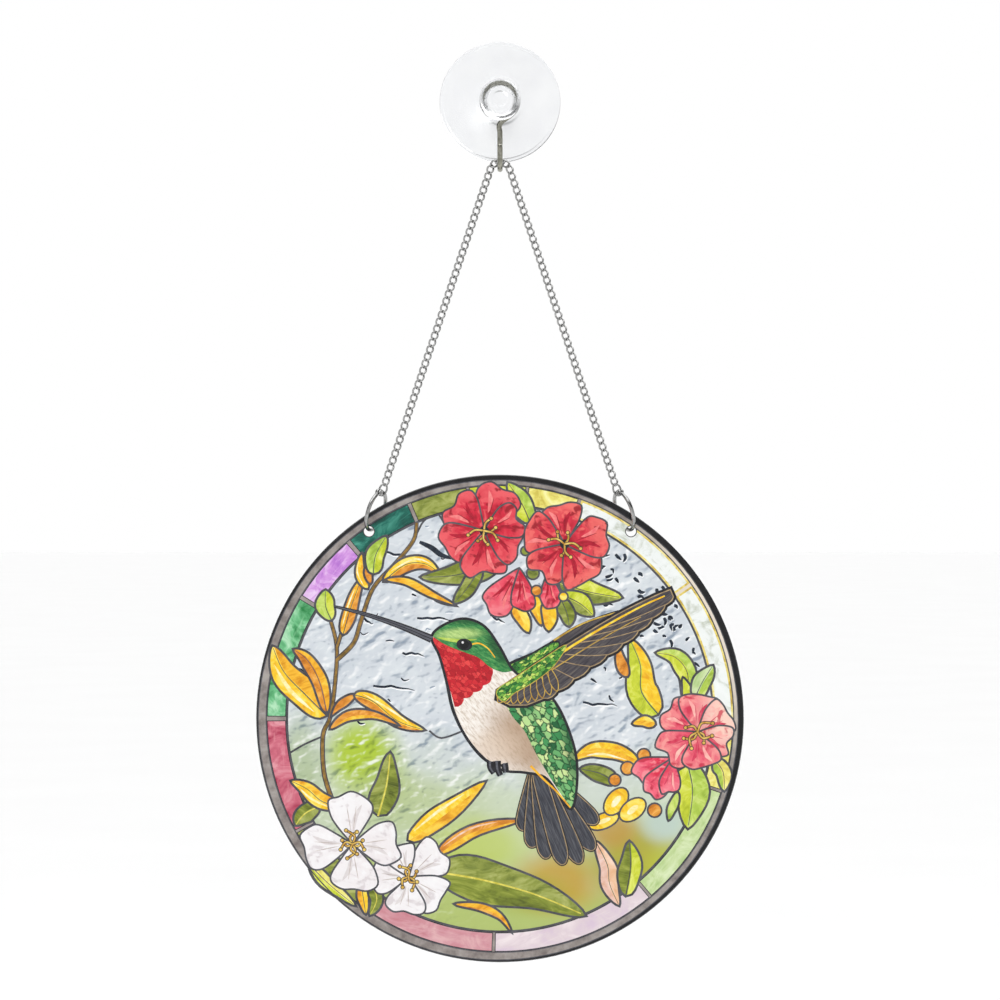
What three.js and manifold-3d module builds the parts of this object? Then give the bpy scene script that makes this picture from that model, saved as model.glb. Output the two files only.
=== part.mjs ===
// Round acrylic window hanging: a flat printed disc that hangs by two hinged ring clasps and a curb chain
// from the wire hook of a suction cup. Millimetres, +Z up. The cup's flat face lies in the plane y = 0 with
// its centre at the origin, where it sticks to a window pane, and the picture faces -Y, into the room.

import * as THREE from "three";
import { mergeVertices } from "three/addons/utils/BufferGeometryUtils.js";
import Module from "manifold-3d";

const wasm = await Module();
wasm.setup();

// Room left between two pieces that touch
const TOUCH_GAP = 0.3;

// Acrylic disc
const DISC_DIAMETER = 200;
const DISC_THICKNESS = 3;
const HOLE_TO_RIM = 6.3; // from the centre of a hanging hole to the edge of the disc
const HOLE_ANGLE = 35; // degrees from the top of the disc to each hanging hole
const HOLE_PLAY = 0.7; // how much wider than its wire's path a hanging hole is, on the radius
const DISC_SIDES = 96;
const HOLE_SIDES = 16;

// Ring clasps, each two halves of round wire, hinged by a rivet
const RING_DIAMETER = 18; // outside
const RING_WIRE = 1.6;
const RING_YAW = 20; // degrees that a ring is turned about its leg of chain
const KNUCKLE_RADIUS = 1.45; // of the flat eyes that the rivet joins
const KNUCKLE_THICKNESS = 1.9; // both eyes together
const RIVET_RADIUS = 0.55;
const RIVET_HEAD_RADIUS = 1.05;
const RIVET_HEAD_HEIGHT = 0.4;
const CLASP_FROM_DISC = 1; // from the disc's face to where the two halves meet
const RING_SIDES = 8;
const RING_STEPS = 28;
const KNUCKLE_SIDES = 12;

// Curb chain, of twisted oval links
const CHAIN_PITCH = 3;
const CHAIN_WIRE = 0.8;
const CHAIN_WIDTH = 3.3; // across a link, outside
const LINKS_PER_LEG = 47; // between the top link on the hook and the end link on the ring
const LINK_TWIST = 45; // degrees each end of a link is twisted out of its middle's plane
const LINK_BEND = 36; // degrees that a link can turn against its neighbour, where the chain bends over the hook
const LINK_BITE = 0.1; // how deep two neighbouring links are fused where they bear on each other
const END_LINK_LENGTH = 5.8; // outside
const END_LINK_WIDTH = 3.9;
const LINK_SIDES = 3;
const END_LINK_STEPS = 12;
const LINK_STEPS = 6;

// Suction cup, pressed flat, with a mushroom head
const CUP_DIAMETER = 50;
const CUP_EDGE = 0.9; // thickness at the rim
const CUP_HUB_DIAMETER = 19;
const CUP_HUB_HEIGHT = 4.4;
const NECK_DIAMETER = 9;
const HEAD_DIAMETER = 17;
const HEAD_HEIGHT = 5;
const DIMPLE_DIAMETER = 6.5;
const DIMPLE_DEPTH = 0.9;
const CUP_SIDES = 36;

// Wire hook round the cup's neck
const HOOK_WIRE = 2.2;
const HOOK_DROP = 30; // from the cup's centre to the bottom of the hook
const HOOK_THROAT = 7; // inside the bend, between shank and tip
const HOOK_TIP_RISE = 10.5; // from the bottom of the hook to its tip
const HOOK_TIP_LEAN = 12; // degrees that the tip leans away from the shank
const EYE_START = 230; // degrees round the neck, counter-clockwise from +X seen from the room
const EYE_END = -50;
const HOOK_SIDES = 8;
const HOOK_STEPS = 36;

// Finishes
const ACRYLIC = { color: 0xcfdde4, roughness: 0.12, metalness: 0 };
const CLEAR_VINYL = { color: 0xe9edf2, roughness: 0.2, metalness: 0 };
const NICKEL = { color: 0xc4c4c2, roughness: 0.22, metalness: 1 };

const radians = THREE.MathUtils.degToRad;

// Sizes worked out from the ones above
const ringRadius = (RING_DIAMETER - RING_WIRE) / 2;
const ringYaw = radians(RING_YAW);
const halfThrough = DISC_THICKNESS / 2 / Math.cos(ringYaw);
const wireShift = (DISC_THICKNESS / 2) * Math.tan(ringYaw);
const wireSag = ringRadius - Math.sqrt(ringRadius ** 2 - halfThrough ** 2);
const holeRadius = RING_WIRE / 2 / Math.cos(ringYaw) + wireShift + HOLE_PLAY;
const wireAboveHole = Math.sqrt((wireShift + HOLE_PLAY - TOUCH_GAP) ** 2 - wireShift ** 2) - wireSag;
const holeCircleRadius = DISC_DIAMETER / 2 - HOLE_TO_RIM;
const neckRadius = NECK_DIAMETER / 2;
const eyeRadius = neckRadius + TOUCH_GAP + HOOK_WIRE / 2;
const eyeDepth = CUP_HUB_HEIGHT + TOUCH_GAP + HOOK_WIRE / 2;
const headStart = eyeDepth + HOOK_WIRE / 2 + TOUCH_GAP;
const hookBendRadius = (HOOK_THROAT + HOOK_WIRE) / 2;
const hangingDepth = eyeDepth + hookBendRadius; // the chain and the disc hang this far in front of the pane
const hookBottom = -HOOK_DROP + HOOK_WIRE / 2;

// Leg of chain: the links bend round the hook's wire and then run straight down to the ring
const topLinkAboveWire = HOOK_WIRE / 2 + TOUCH_GAP + CHAIN_WIDTH / 2;
const linkHalf = (CHAIN_PITCH + CHAIN_WIRE - LINK_BITE) / 2; // from a link's centre to the centre of its end wire
const endLinkInside = END_LINK_LENGTH - 2 * CHAIN_WIRE;
const jointToRingTop = -(CHAIN_WIRE - LINK_BITE) / 2 + endLinkInside + CHAIN_WIRE / 2 - TOUCH_GAP - RING_WIRE / 2;
const jointToHole = jointToRingTop + 2 * ringRadius + wireAboveHole;

function solid(geometry) {
  const bare = geometry.clone();
  bare.deleteAttribute("normal");
  bare.deleteAttribute("uv");
  const merged = mergeVertices(bare, 1e-4);
  return new wasm.Manifold(
    new wasm.Mesh({
      numProp: 3,
      vertProperties: merged.attributes.position.array,
      triVerts: new Uint32Array(merged.index.array),
    }),
  );
}

function geometryOf(made) {
  const mesh = made.getMesh();
  const geometry = new THREE.BufferGeometry();
  geometry.setAttribute("position", new THREE.BufferAttribute(new Float32Array(mesh.vertProperties), 3));
  geometry.setIndex(new THREE.BufferAttribute(new Uint32Array(mesh.triVerts), 1));
  geometry.computeVertexNormals();
  return geometry;
}

function fuse(geometries) {
  return geometryOf(geometries.map(solid).reduce((whole, piece) => whole.add(piece)));
}

function named(name, geometry, finish) {
  const mesh = new THREE.Mesh(geometry, new THREE.MeshStandardMaterial(finish));
  mesh.name = name;
  return mesh;
}

function circlePoints(radius, sides, centre = new THREE.Vector2()) {
  return Array.from({ length: sides }, (_, i) => {
    const angle = (2 * Math.PI * i) / sides;
    return new THREE.Vector2(centre.x + radius * Math.cos(angle), centre.y + radius * Math.sin(angle));
  });
}

// A cylinder along Y between two depths
function pegY(radius, from, to, sides = KNUCKLE_SIDES) {
  return new THREE.CylinderGeometry(radius, radius, to - from, sides).translate(0, (from + to) / 2, 0);
}

// The disc stands in the XZ plane, centred on its own origin
function discGeometry() {
  const outline = new THREE.Shape(circlePoints(DISC_DIAMETER / 2, DISC_SIDES));
  for (const side of [-1, 1]) {
    const angle = Math.PI / 2 - side * radians(HOLE_ANGLE);
    const centre = new THREE.Vector2(Math.cos(angle), Math.sin(angle)).multiplyScalar(holeCircleRadius);
    outline.holes.push(new THREE.Path(circlePoints(holeRadius, HOLE_SIDES, centre)));
  }
  return new THREE.ExtrudeGeometry(outline, { depth: DISC_THICKNESS, bevelEnabled: false })
    .translate(0, 0, -DISC_THICKNESS / 2)
    .rotateX(Math.PI / 2);
}

// The cup, turned about Y: r is the radius and h the height above the pane
function cupGeometry() {
  const rim = CUP_DIAMETER / 2;
  const hub = CUP_HUB_DIAMETER / 2;
  const head = HEAD_DIAMETER / 2;
  const dimple = DIMPLE_DIAMETER / 2;
  const headEnd = headStart + HEAD_HEIGHT;
  const hubShoulder = (hub + neckRadius) / 2;
  const profile = [
    [0, 0],
    [rim, 0],
    [rim, CUP_EDGE],
  ];
  const domeSteps = 3;
  for (let i = 1; i <= domeSteps; i++) {
    const share = i / domeSteps;
    profile.push([THREE.MathUtils.lerp(rim, hub, share), THREE.MathUtils.lerp(CUP_EDGE, CUP_HUB_HEIGHT, share ** 1.5)]);
  }
  profile.push(
    [hubShoulder, CUP_HUB_HEIGHT],
    [neckRadius, CUP_HUB_HEIGHT],
    [neckRadius, headStart],
    [head * 0.88, headStart],
    [head, headStart + HEAD_HEIGHT * 0.35],
    [head * 0.96, headStart + HEAD_HEIGHT * 0.7],
    [head * 0.8, headEnd],
    [dimple, headEnd - DIMPLE_DEPTH * 0.35],
    [0, headEnd - DIMPLE_DEPTH],
  );
  const points = profile.map(([r, h]) => new THREE.Vector2(r, h));
  return new THREE.LatheGeometry(points, CUP_SIDES).rotateX(Math.PI);
}

// The hook is one wire: round the neck, down the shank, and up again at the tip
function hookGeometry() {
  const points = [];
  const eyeSteps = 14;
  for (let i = 0; i <= eyeSteps; i++) {
    const angle = radians(THREE.MathUtils.lerp(EYE_START, EYE_END, i / eyeSteps));
    points.push(new THREE.Vector3(eyeRadius * Math.cos(angle), -eyeDepth, eyeRadius * Math.sin(angle)));
  }
  const bendCentre = hookBottom + hookBendRadius;
  const shankTop = -eyeRadius - HOOK_WIRE;
  const shankSteps = 4;
  for (let i = 0; i < shankSteps; i++) {
    points.push(new THREE.Vector3(0, -eyeDepth, THREE.MathUtils.lerp(shankTop, bendCentre, i / shankSteps)));
  }
  const lean = radians(HOOK_TIP_LEAN);
  const bendSteps = 8;
  for (let i = 0; i <= bendSteps; i++) {
    const turn = THREE.MathUtils.lerp(0, Math.PI - lean, i / bendSteps);
    const depth = hangingDepth - hookBendRadius * Math.cos(turn);
    points.push(new THREE.Vector3(0, -depth, bendCentre - hookBendRadius * Math.sin(turn)));
  }
  const bendEnd = points.at(-1);
  const tipLength = (-HOOK_DROP + HOOK_TIP_RISE - bendEnd.z) / Math.cos(lean);
  const tipWay = new THREE.Vector3(0, -Math.sin(lean), Math.cos(lean));
  points.push(bendEnd.clone().addScaledVector(tipWay, tipLength));
  return new THREE.ExtrudeGeometry(new THREE.Shape(circlePoints(HOOK_WIRE / 2, HOOK_SIDES)), {
    steps: HOOK_STEPS,
    bevelEnabled: false,
    extrudePath: new THREE.CatmullRomCurve3(points, false, "centripetal"),
  });
}

// A closed oval of wire along X, its flat side facing Y, with its ends twisted opposite ways about X
function linkGeometry(length, width, twist, steps) {
  const along = (length - CHAIN_WIRE) / 2;
  const across = (width - CHAIN_WIRE) / 2;
  const geometry = new THREE.TorusGeometry(1, CHAIN_WIRE / 2, LINK_SIDES, steps).rotateZ(Math.PI / steps);
  const position = geometry.attributes.position;
  for (let i = 0; i < position.count; i++) {
    const [x, z] = [position.getX(i), position.getY(i)];
    const distance = Math.hypot(x, z);
    const [cosine, sine] = [x / distance, z / distance];
    const outward = new THREE.Vector2(cosine / along, sine / across).normalize().multiplyScalar(1 - distance);
    const place = new THREE.Vector3(along * cosine + outward.x, position.getZ(i), across * sine + outward.y);
    place.applyAxisAngle(new THREE.Vector3(1, 0, 0), radians(twist) * cosine);
    position.setXYZ(i, place.x, place.y, place.z);
  }
  return geometry;
}

function chainLink() {
  return linkGeometry(2 * linkHalf + CHAIN_WIRE, CHAIN_WIDTH, LINK_TWIST, LINK_STEPS);
}

// The angle below the horizontal of each link in a leg whose straight stretch runs down at slope
function linkSlope(index, slope) {
  return Math.min(index * radians(LINK_BEND), slope);
}

// The way down a leg, on the left for side -1 and on the right for side 1
function wayDown(side, slope) {
  return new THREE.Vector3(side * Math.cos(slope), 0, -Math.sin(slope));
}

// The joints down a leg, each halfway between the end wires of the two links that meet there. The first
// link hangs free in the top link's end, which it pulls at halfway between their two slopes.
function legJoints(side, slope) {
  const joint = new THREE.Vector3(side * linkHalf, -hangingDepth, hookBottom + topLinkAboveWire);
  joint.addScaledVector(wayDown(side, linkSlope(1, slope) / 2), -(CHAIN_WIRE + TOUCH_GAP));
  joint.addScaledVector(wayDown(side, linkSlope(1, slope)), (CHAIN_WIRE - LINK_BITE) / 2);
  const joints = [joint.clone()];
  for (let i = 1; i <= LINKS_PER_LEG; i++) {
    joint.addScaledVector(wayDown(side, linkSlope(i, slope)), CHAIN_PITCH);
    joints.push(joint.clone());
  }
  return joints;
}

// How far out from the middle the hanging hole comes on a leg that runs down at slope
function holeReach(slope) {
  return legJoints(1, slope).at(-1).x + jointToHole * Math.cos(slope);
}

// The slope at which the leg's end meets its hanging hole, found by halving
function findLegSlope(target) {
  let [low, high] = [0, Math.PI / 2];
  for (let i = 0; i < 50; i++) {
    const middle = (low + high) / 2;
    if (holeReach(middle) > target) low = middle;
    else high = middle;
  }
  return (low + high) / 2;
}

const legSlope = findLegSlope(holeCircleRadius * Math.sin(radians(HOLE_ANGLE)));

// Axes of a piece that runs down a leg: X down it, Z across it and Y to the window
function legFrame(side, slope, place) {
  const along = wayDown(side, slope);
  const deep = new THREE.Vector3(0, 1, 0);
  const across = new THREE.Vector3().crossVectors(along, deep);
  return new THREE.Matrix4().makeBasis(along, deep, across).setPosition(place);
}

// One leg of chain as one fused solid, and the joint at its lower end
function chainLeg(side) {
  const joints = legJoints(side, legSlope);
  const links = [];
  for (let i = 1; i <= LINKS_PER_LEG; i++) {
    const middle = new THREE.Vector3().lerpVectors(joints[i - 1], joints[i], 0.5);
    links.push(chainLink().applyMatrix4(legFrame(side, linkSlope(i, legSlope), middle)));
  }
  const joint = joints.at(-1);
  const endLink = linkGeometry(END_LINK_LENGTH, END_LINK_WIDTH, 0, END_LINK_STEPS).rotateX(side * ringYaw);
  const way = wayDown(side, legSlope);
  const endMiddle = joint.clone().addScaledVector(way, (END_LINK_LENGTH - 2 * CHAIN_WIRE + LINK_BITE) / 2);
  links.push(endLink.applyMatrix4(legFrame(side, legSlope, endMiddle)));
  return { geometry: fuse(links), joint };
}

// A sector of the ring's plane, from one angle to another, as thick as any knuckle
function sector(from, to) {
  const reach = RING_DIAMETER;
  const steps = 12;
  const outline = [new THREE.Vector2()];
  for (let i = 0; i <= steps; i++) {
    const angle = THREE.MathUtils.lerp(from, to, i / steps);
    outline.push(new THREE.Vector2(reach * Math.cos(angle), reach * Math.sin(angle)));
  }
  const depth = 2 * KNUCKLE_THICKNESS;
  return new THREE.ExtrudeGeometry(new THREE.Shape(outline), { depth, bevelEnabled: false })
    .translate(0, 0, -depth / 2)
    .rotateX(Math.PI / 2);
}

// The two halves of a ring, in its own frame: Z to the chain, X to the window and Y along the hinge.
// The back half holds the chain and the disc, and carries the rivet. The front half swings open on it.
function ringHalves() {
  const hingeX = -(CHAIN_WIRE / 2 + 2 * TOUCH_GAP + KNUCKLE_RADIUS + TOUCH_GAP);
  const claspX = -(halfThrough + CLASP_FROM_DISC);
  const hingeAngle = Math.PI - Math.asin(Math.sqrt(1 - (hingeX / ringRadius) ** 2));
  const claspAngle = 2 * Math.PI - (Math.PI - Math.asin(Math.sqrt(1 - (claspX / ringRadius) ** 2)));
  const claspGap = TOUCH_GAP / ringRadius;
  const hinge = new THREE.Vector3(ringRadius * Math.cos(hingeAngle), 0, ringRadius * Math.sin(hingeAngle));
  const wire = solid(new THREE.TorusGeometry(ringRadius, RING_WIRE / 2, RING_SIDES, RING_STEPS).rotateX(Math.PI / 2));
  const atHinge = (geometry) => solid(geometry.translate(hinge.x, hinge.y, hinge.z));
  const half = KNUCKLE_THICKNESS / 2;
  const lap = TOUCH_GAP / 2;
  const lapRadius = KNUCKLE_RADIUS + TOUCH_GAP;
  const headFrom = half + TOUCH_GAP;
  const back = wire
    .intersect(solid(sector(claspAngle - 2 * Math.PI, hingeAngle)))
    .add(atHinge(pegY(KNUCKLE_RADIUS, -half, -lap)))
    .subtract(atHinge(pegY(lapRadius, -lap, 2 * half)))
    .add(atHinge(pegY(RIVET_RADIUS, -half, headFrom + RIVET_HEAD_HEIGHT / 2)))
    .add(atHinge(pegY(RIVET_HEAD_RADIUS, headFrom, headFrom + RIVET_HEAD_HEIGHT)));
  const front = wire
    .intersect(solid(sector(hingeAngle, claspAngle - claspGap)))
    .add(atHinge(pegY(KNUCKLE_RADIUS, lap, half)))
    .subtract(atHinge(pegY(lapRadius, -2 * half, lap)))
    .subtract(atHinge(pegY(RIVET_RADIUS + TOUCH_GAP, -half, 2 * half)));
  return {
    hinge,
    back: geometryOf(back),
    front: geometryOf(front).translate(-hinge.x, -hinge.y, -hinge.z),
  };
}

// Places a ring at the end of its leg: the group's origin is the ring's centre
function ringClasp(side, joint, halves) {
  const group = new THREE.Group();
  const up = wayDown(side, legSlope).negate();
  const acrossDisc = new THREE.Vector3().crossVectors(up, new THREE.Vector3(0, 1, 0));
  const toWindow = new THREE.Vector3(0, Math.cos(ringYaw), 0).addScaledVector(acrossDisc, side * Math.sin(ringYaw));
  const alongHinge = new THREE.Vector3().crossVectors(up, toWindow);
  group.quaternion.setFromRotationMatrix(new THREE.Matrix4().makeBasis(toWindow, alongHinge, up));
  group.position.copy(joint).addScaledVector(up, -(jointToRingTop + ringRadius));
  const word = side < 0 ? "left" : "right";
  const gate = named(`ring_${word}_gate`, halves.front, NICKEL);
  gate.position.copy(halves.hinge);
  group.add(named(`ring_${word}_body`, halves.back, NICKEL), gate);
  return group;
}

function windowHanging() {
  const hanging = new THREE.Group();
  hanging.add(named("suction_cup", cupGeometry(), CLEAR_VINYL));
  hanging.add(named("hook", hookGeometry(), NICKEL));

  const topLink = named("chain_top_link", chainLink(), NICKEL);
  topLink.position.set(0, -hangingDepth, hookBottom + topLinkAboveWire);
  hanging.add(topLink);

  const halves = ringHalves();
  let holeZ = 0;
  for (const side of [-1, 1]) {
    const leg = chainLeg(side);
    hanging.add(named(`chain_${side < 0 ? "left" : "right"}`, leg.geometry, NICKEL));
    hanging.add(ringClasp(side, leg.joint, halves));
    holeZ = leg.joint.z - jointToHole * Math.sin(legSlope);
  }

  const disc = named("acrylic_disc", discGeometry(), ACRYLIC);
  disc.position.set(0, -hangingDepth, holeZ - holeCircleRadius * Math.cos(radians(HOLE_ANGLE)));
  hanging.add(disc);
  return hanging;
}

export default windowHanging();
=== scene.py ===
"""Looks of the round acrylic window hanging: printed disc, ring clasps, curb chain, wire hook, suction cup.

The picture on the disc is drawn here as flat outlines in millimetres from the disc's centre, x to the right
and y up. They are laid over each other like cut glass, and the disc's two faces are divided along them.
"""

import math
import random

import bpy
from mathutils import Matrix, Vector
from mathutils.geometry import delaunay_2d_cdt


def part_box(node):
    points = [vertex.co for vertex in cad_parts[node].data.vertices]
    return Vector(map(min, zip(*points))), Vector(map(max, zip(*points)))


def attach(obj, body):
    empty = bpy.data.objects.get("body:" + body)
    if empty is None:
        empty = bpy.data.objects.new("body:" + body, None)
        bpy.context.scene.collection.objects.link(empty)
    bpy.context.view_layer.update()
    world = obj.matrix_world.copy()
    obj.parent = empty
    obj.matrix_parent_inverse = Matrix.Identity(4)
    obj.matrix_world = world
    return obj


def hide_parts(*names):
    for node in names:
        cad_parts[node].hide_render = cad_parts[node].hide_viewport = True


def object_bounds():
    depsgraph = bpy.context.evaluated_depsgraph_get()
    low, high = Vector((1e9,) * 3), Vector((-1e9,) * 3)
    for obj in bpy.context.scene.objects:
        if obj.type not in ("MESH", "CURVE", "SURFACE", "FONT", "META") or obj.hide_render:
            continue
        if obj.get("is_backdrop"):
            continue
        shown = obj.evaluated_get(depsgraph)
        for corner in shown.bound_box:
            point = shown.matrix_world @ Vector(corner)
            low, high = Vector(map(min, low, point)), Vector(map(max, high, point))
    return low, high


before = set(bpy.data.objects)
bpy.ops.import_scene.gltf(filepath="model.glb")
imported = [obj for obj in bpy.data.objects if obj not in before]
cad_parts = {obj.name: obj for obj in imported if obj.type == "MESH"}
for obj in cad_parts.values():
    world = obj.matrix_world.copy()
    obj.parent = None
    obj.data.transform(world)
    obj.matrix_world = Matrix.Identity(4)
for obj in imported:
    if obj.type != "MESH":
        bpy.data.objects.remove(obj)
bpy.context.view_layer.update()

MM = 0.001

# Disc
DISC_BEVEL = 0.35
HOLE_TO_RIM = 6.3
HOLE_ANGLE = 35
HOLE_PLAY = 0.7
RIM_SIDES = 192
HOLE_SIDES = 32
PICTURE_SIDES = 128

# Rings of the picture, from the edge inwards
PRINT_RADIUS = 98.9
# This shift moves the picture's edge inside the black rim, so the black widens at the upper right as painted
# shade of the disc's thickness
RIM_SHADE_SHIFT = Vector((-0.75, -0.6))
BORDER_OUTER = 95.6
BORDER_INNER = 87.9
BORDER_GLASS = BORDER_INNER - 0.1
FIELD_RADIUS = 86.9
LEAD = 0.95
FINE_LEAD = 0.75

# Small creases of the sky, which crowd round a place at the upper right
CREASE_TRIES = 900
CREASE_STEPS = 7
CROWD_CENTRE = Vector((64, 52))
CROWD_REACH = 50

# Ring clasps
RING_DIAMETER = 18
RING_WIRE = 1.6
RING_YAW = math.radians(20)
RING_STEPS = 40
KNUCKLE_RADIUS = 1.45
KNUCKLE_THICKNESS = 1.9
RIVET_RADIUS = 0.55
RIVET_HEAD_RADIUS = 1.05
CLASP_FROM_DISC = 1
TOUCH_GAP = 0.3

# Chain
CHAIN_PITCH = 3
CHAIN_WIRE = 0.8
CHAIN_WIDTH = 3.3
LINKS_PER_LEG = 47
LINK_TWIST = math.radians(45)
LINK_BEND = math.radians(36)
LINK_BITE = 0.1
END_LINK_LENGTH = 5.8
END_LINK_WIDTH = 3.9
LINK_STEPS = 28
DOME_STEPS = 4

# Suction cup and hook
CUP_RADIUS = 25
CUP_EDGE = 0.9
LIP_RADIUS = 23.2
HUB_RADIUS = 9.5
HUB_HEIGHT = 4.4
NECK_RADIUS = 4.5
HEAD_RADIUS = 8.5
HEAD_HEIGHT = 5
HEAD_ROUNDING = 1.6
DIMPLE_DEPTH = 0.9
HOOK_WIRE = 2.2
HOOK_DROP = 30
HOOK_THROAT = 7
HOOK_TIP_RISE = 10.5
HOOK_TIP_LEAN = math.radians(12)
EYE_START = 230
EYE_END = -50
EYE_WIDENING = 1.5
EYE_STEPS = 14
SHANK_STEPS = 4
BEND_STEPS = 8

# Brightness of the room: the wall behind the object, the wall all round it, and the heights above
ROOM_BEHIND = 1.0
ROOM_ROUND = 0.72
ROOM_UPPER = 0.1
ROOM_CEILING = 1.75

# Floor, in metres
FLOOR_REACH = 30
FLOOR_DROP = 0.35

# Camera
CAMERA_LENS = 110
SENSOR_WIDTH = 36
OBJECT_SHARE = 0.93

disc_low, disc_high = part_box("acrylic_disc")
disc_centre = (disc_low + disc_high) / 2
disc_radius = (disc_high.x - disc_low.x) / 2 / MM
disc_thickness = (disc_high.y - disc_low.y) / MM
wire_shift = disc_thickness / 2 * math.tan(RING_YAW)
hole_radius = RING_WIRE / 2 / math.cos(RING_YAW) + wire_shift + HOLE_PLAY


def srgb(code, alpha=1.0):
    """Linear colour of a hexadecimal sRGB code"""
    parts = [int(code[i : i + 2], 16) / 255 for i in (0, 2, 4)]
    linear = [c / 12.92 if c <= 0.04045 else ((c + 0.055) / 1.055) ** 2.4 for c in parts]
    return (*linear, alpha)


class Nodes:
    """Short ways to add nodes to a tree"""

    def __init__(self, tree):
        self.tree = tree

    def node(self, kind, inputs=(), **settings):
        made = self.tree.nodes.new(kind)
        for name, value in settings.items():
            setattr(made, name, value)
        for key, value in dict(inputs).items():
            if isinstance(value, bpy.types.NodeSocket):
                self.tree.links.new(value, made.inputs[key])
            else:
                made.inputs[key].default_value = srgb(value) if isinstance(value, str) else value
        return made

    def noise(self, vector, scale=1.0, detail=3.0, roughness=0.5, distortion=0.0):
        inputs = {"Vector": vector, "Scale": scale, "Detail": detail}
        inputs.update(Roughness=roughness, Distortion=distortion)
        return self.node("ShaderNodeTexNoise", inputs).outputs["Fac"]

    def step(self, value, low, high, most=1.0):
        """0 below low and most above high, with a smooth rise between"""
        inputs = {"Value": value, "From Min": low, "From Max": high, "To Max": most}
        return self.node("ShaderNodeMapRange", inputs, interpolation_type="SMOOTHSTEP").outputs["Result"]

    def math(self, operation, first, second):
        return self.node("ShaderNodeMath", {0: first, 1: second}, operation=operation).outputs[0]

    def vector(self, operation, *values):
        made = self.node("ShaderNodeVectorMath", enumerate(values), operation=operation)
        return made.outputs["Value" if operation in ("LENGTH", "DOT_PRODUCT") else "Vector"]

    def ramp(self, value, tones):
        made = self.node("ShaderNodeValToRGB", {"Fac": value})
        elements = made.color_ramp.elements
        while len(elements) < len(tones):
            elements.new(0.5)
        for element, (position, colour) in zip(elements, tones):
            element.position = position
            element.color = srgb(colour) if isinstance(colour, str) else (colour, colour, colour, 1)
        return made.outputs["Color"]

    def mix(self, share, first, second, blend="MIX"):
        inputs = {0: share, 6: first, 7: second}
        return self.node("ShaderNodeMix", inputs, data_type="RGBA", blend_type=blend).outputs[2]


class Graph(Nodes):
    """A material's nodes, with its Principled shader and its place on the disc in millimetres"""

    def __init__(self, name, roughness, metallic=0.0, **sockets):
        self.material = bpy.data.materials.new(name)
        self.material.use_nodes = True
        super().__init__(self.material.node_tree)
        self.shader = self.tree.nodes["Principled BSDF"]
        self.shader.inputs["Roughness"].default_value = roughness
        self.shader.inputs["Metallic"].default_value = metallic
        for socket, value in sockets.items():
            self.shader.inputs[socket.replace("_", " ")].default_value = value
        self.coordinates = self.tree.nodes.new("ShaderNodeTexCoord").outputs["Object"]

    def place(self, centre=(0, 0), size=(1, 1), turn=0.0):
        """Place on the disc as seen from a centre, in units of a size, turned by an angle"""
        cosine, sine = math.cos(turn), math.sin(turn)
        origin = disc_centre / MM + Vector((centre[0], 0, centre[1]))
        moved = self.vector("MULTIPLY_ADD", self.coordinates, (1 / MM,) * 3, tuple(-origin))
        along = self.vector("DOT_PRODUCT", moved, (cosine, 0, sine))
        across = self.vector("DOT_PRODUCT", moved, (-sine, 0, cosine))
        joined = self.node("ShaderNodeCombineXYZ", {0: along, 1: across}).outputs[0]
        return self.vector("MULTIPLY", joined, (1 / size[0], 1 / size[1], 1))

    def grain(self, size, turn=0.0, **settings):
        """Noise with lumps of a size in millimetres"""
        return self.noise(self.place(size=size, turn=turn), **settings)

    def blob(self, colour, centre, size, tint, strength=1.0, turn=0.0):
        """Lays a soft oval of a tint over a colour"""
        distance = self.vector("LENGTH", self.place(centre, size, turn))
        return self.mix(self.step(distance, 1.0, 0.25, strength), colour, tint)

    def relief(self, size, turn, reach, detail=3.0):
        """Light and shade on lumps in the glass, lit from the upper left. It is 0.5 where they are flat."""
        facing = self.noise(self.place((0, 0), size, turn), detail=detail, distortion=0.4)
        away = self.noise(self.place((reach, -reach), size, turn), detail=detail, distortion=0.4)
        return self.math("ADD", self.math("MULTIPLY", self.math("SUBTRACT", facing, away), 2.0), 0.5)

    def finish(self, colour, bump_source=None, bump=0.1, bump_depth=0.0002):
        self.tree.links.new(colour, self.shader.inputs["Base Color"])
        if bump_source is not None:
            inputs = {"Strength": bump, "Distance": bump_depth, "Height": bump_source}
            normal = self.node("ShaderNodeBump", inputs).outputs[0]
            self.tree.links.new(normal, self.shader.inputs["Normal"])
        return self.material


def printed(name):
    """A print on gloss acrylic"""
    return Graph(name, roughness=0.22, Specular_IOR_Level=0.3, IOR=1.49)


def art_glass(name, dark, middle, light, size, turn):
    """Cathedral glass in three tones, clouded and streaked along a direction"""
    graph = printed(name)
    clouds = graph.grain(size, turn, detail=4, roughness=0.6, distortion=1.2)
    colour = graph.ramp(clouds, [(0.32, dark), (0.5, middle), (0.68, light)])
    streaks = graph.grain((size[0] * 0.9, size[1] * 0.12), turn, detail=2)
    colour = graph.mix(graph.step(streaks, 0.55, 0.75, 0.35), colour, light)
    fine = graph.grain((1.6, 1.6), detail=5)
    return graph.finish(colour, fine, bump=0.12)


def petal_glass(name, centre, reach, heart, middle, tip, deep, wash=None):
    """A flower's crumpled glass, from its heart out to its petals' tips, deeper in its folds"""
    graph = printed(name)
    distance = graph.vector("LENGTH", graph.place(centre, (reach, reach)))
    rough = graph.math("SUBTRACT", graph.grain((6, 6), distortion=0.8), 0.5)
    colour = graph.ramp(graph.math("ADD", distance, rough), [(0.05, heart), (0.45, middle), (0.95, tip)])
    if wash:
        colour = graph.blob(colour, *wash)
    folds = graph.relief((8, 6), -0.5, 1.1, detail=3)
    colour = graph.mix(graph.step(folds, 0.54, 0.74, 0.8), colour, tip)
    colour = graph.mix(graph.step(folds, 0.45, 0.24, 0.85), colour, deep)
    return graph.finish(colour, folds, bump=0.2)


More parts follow.
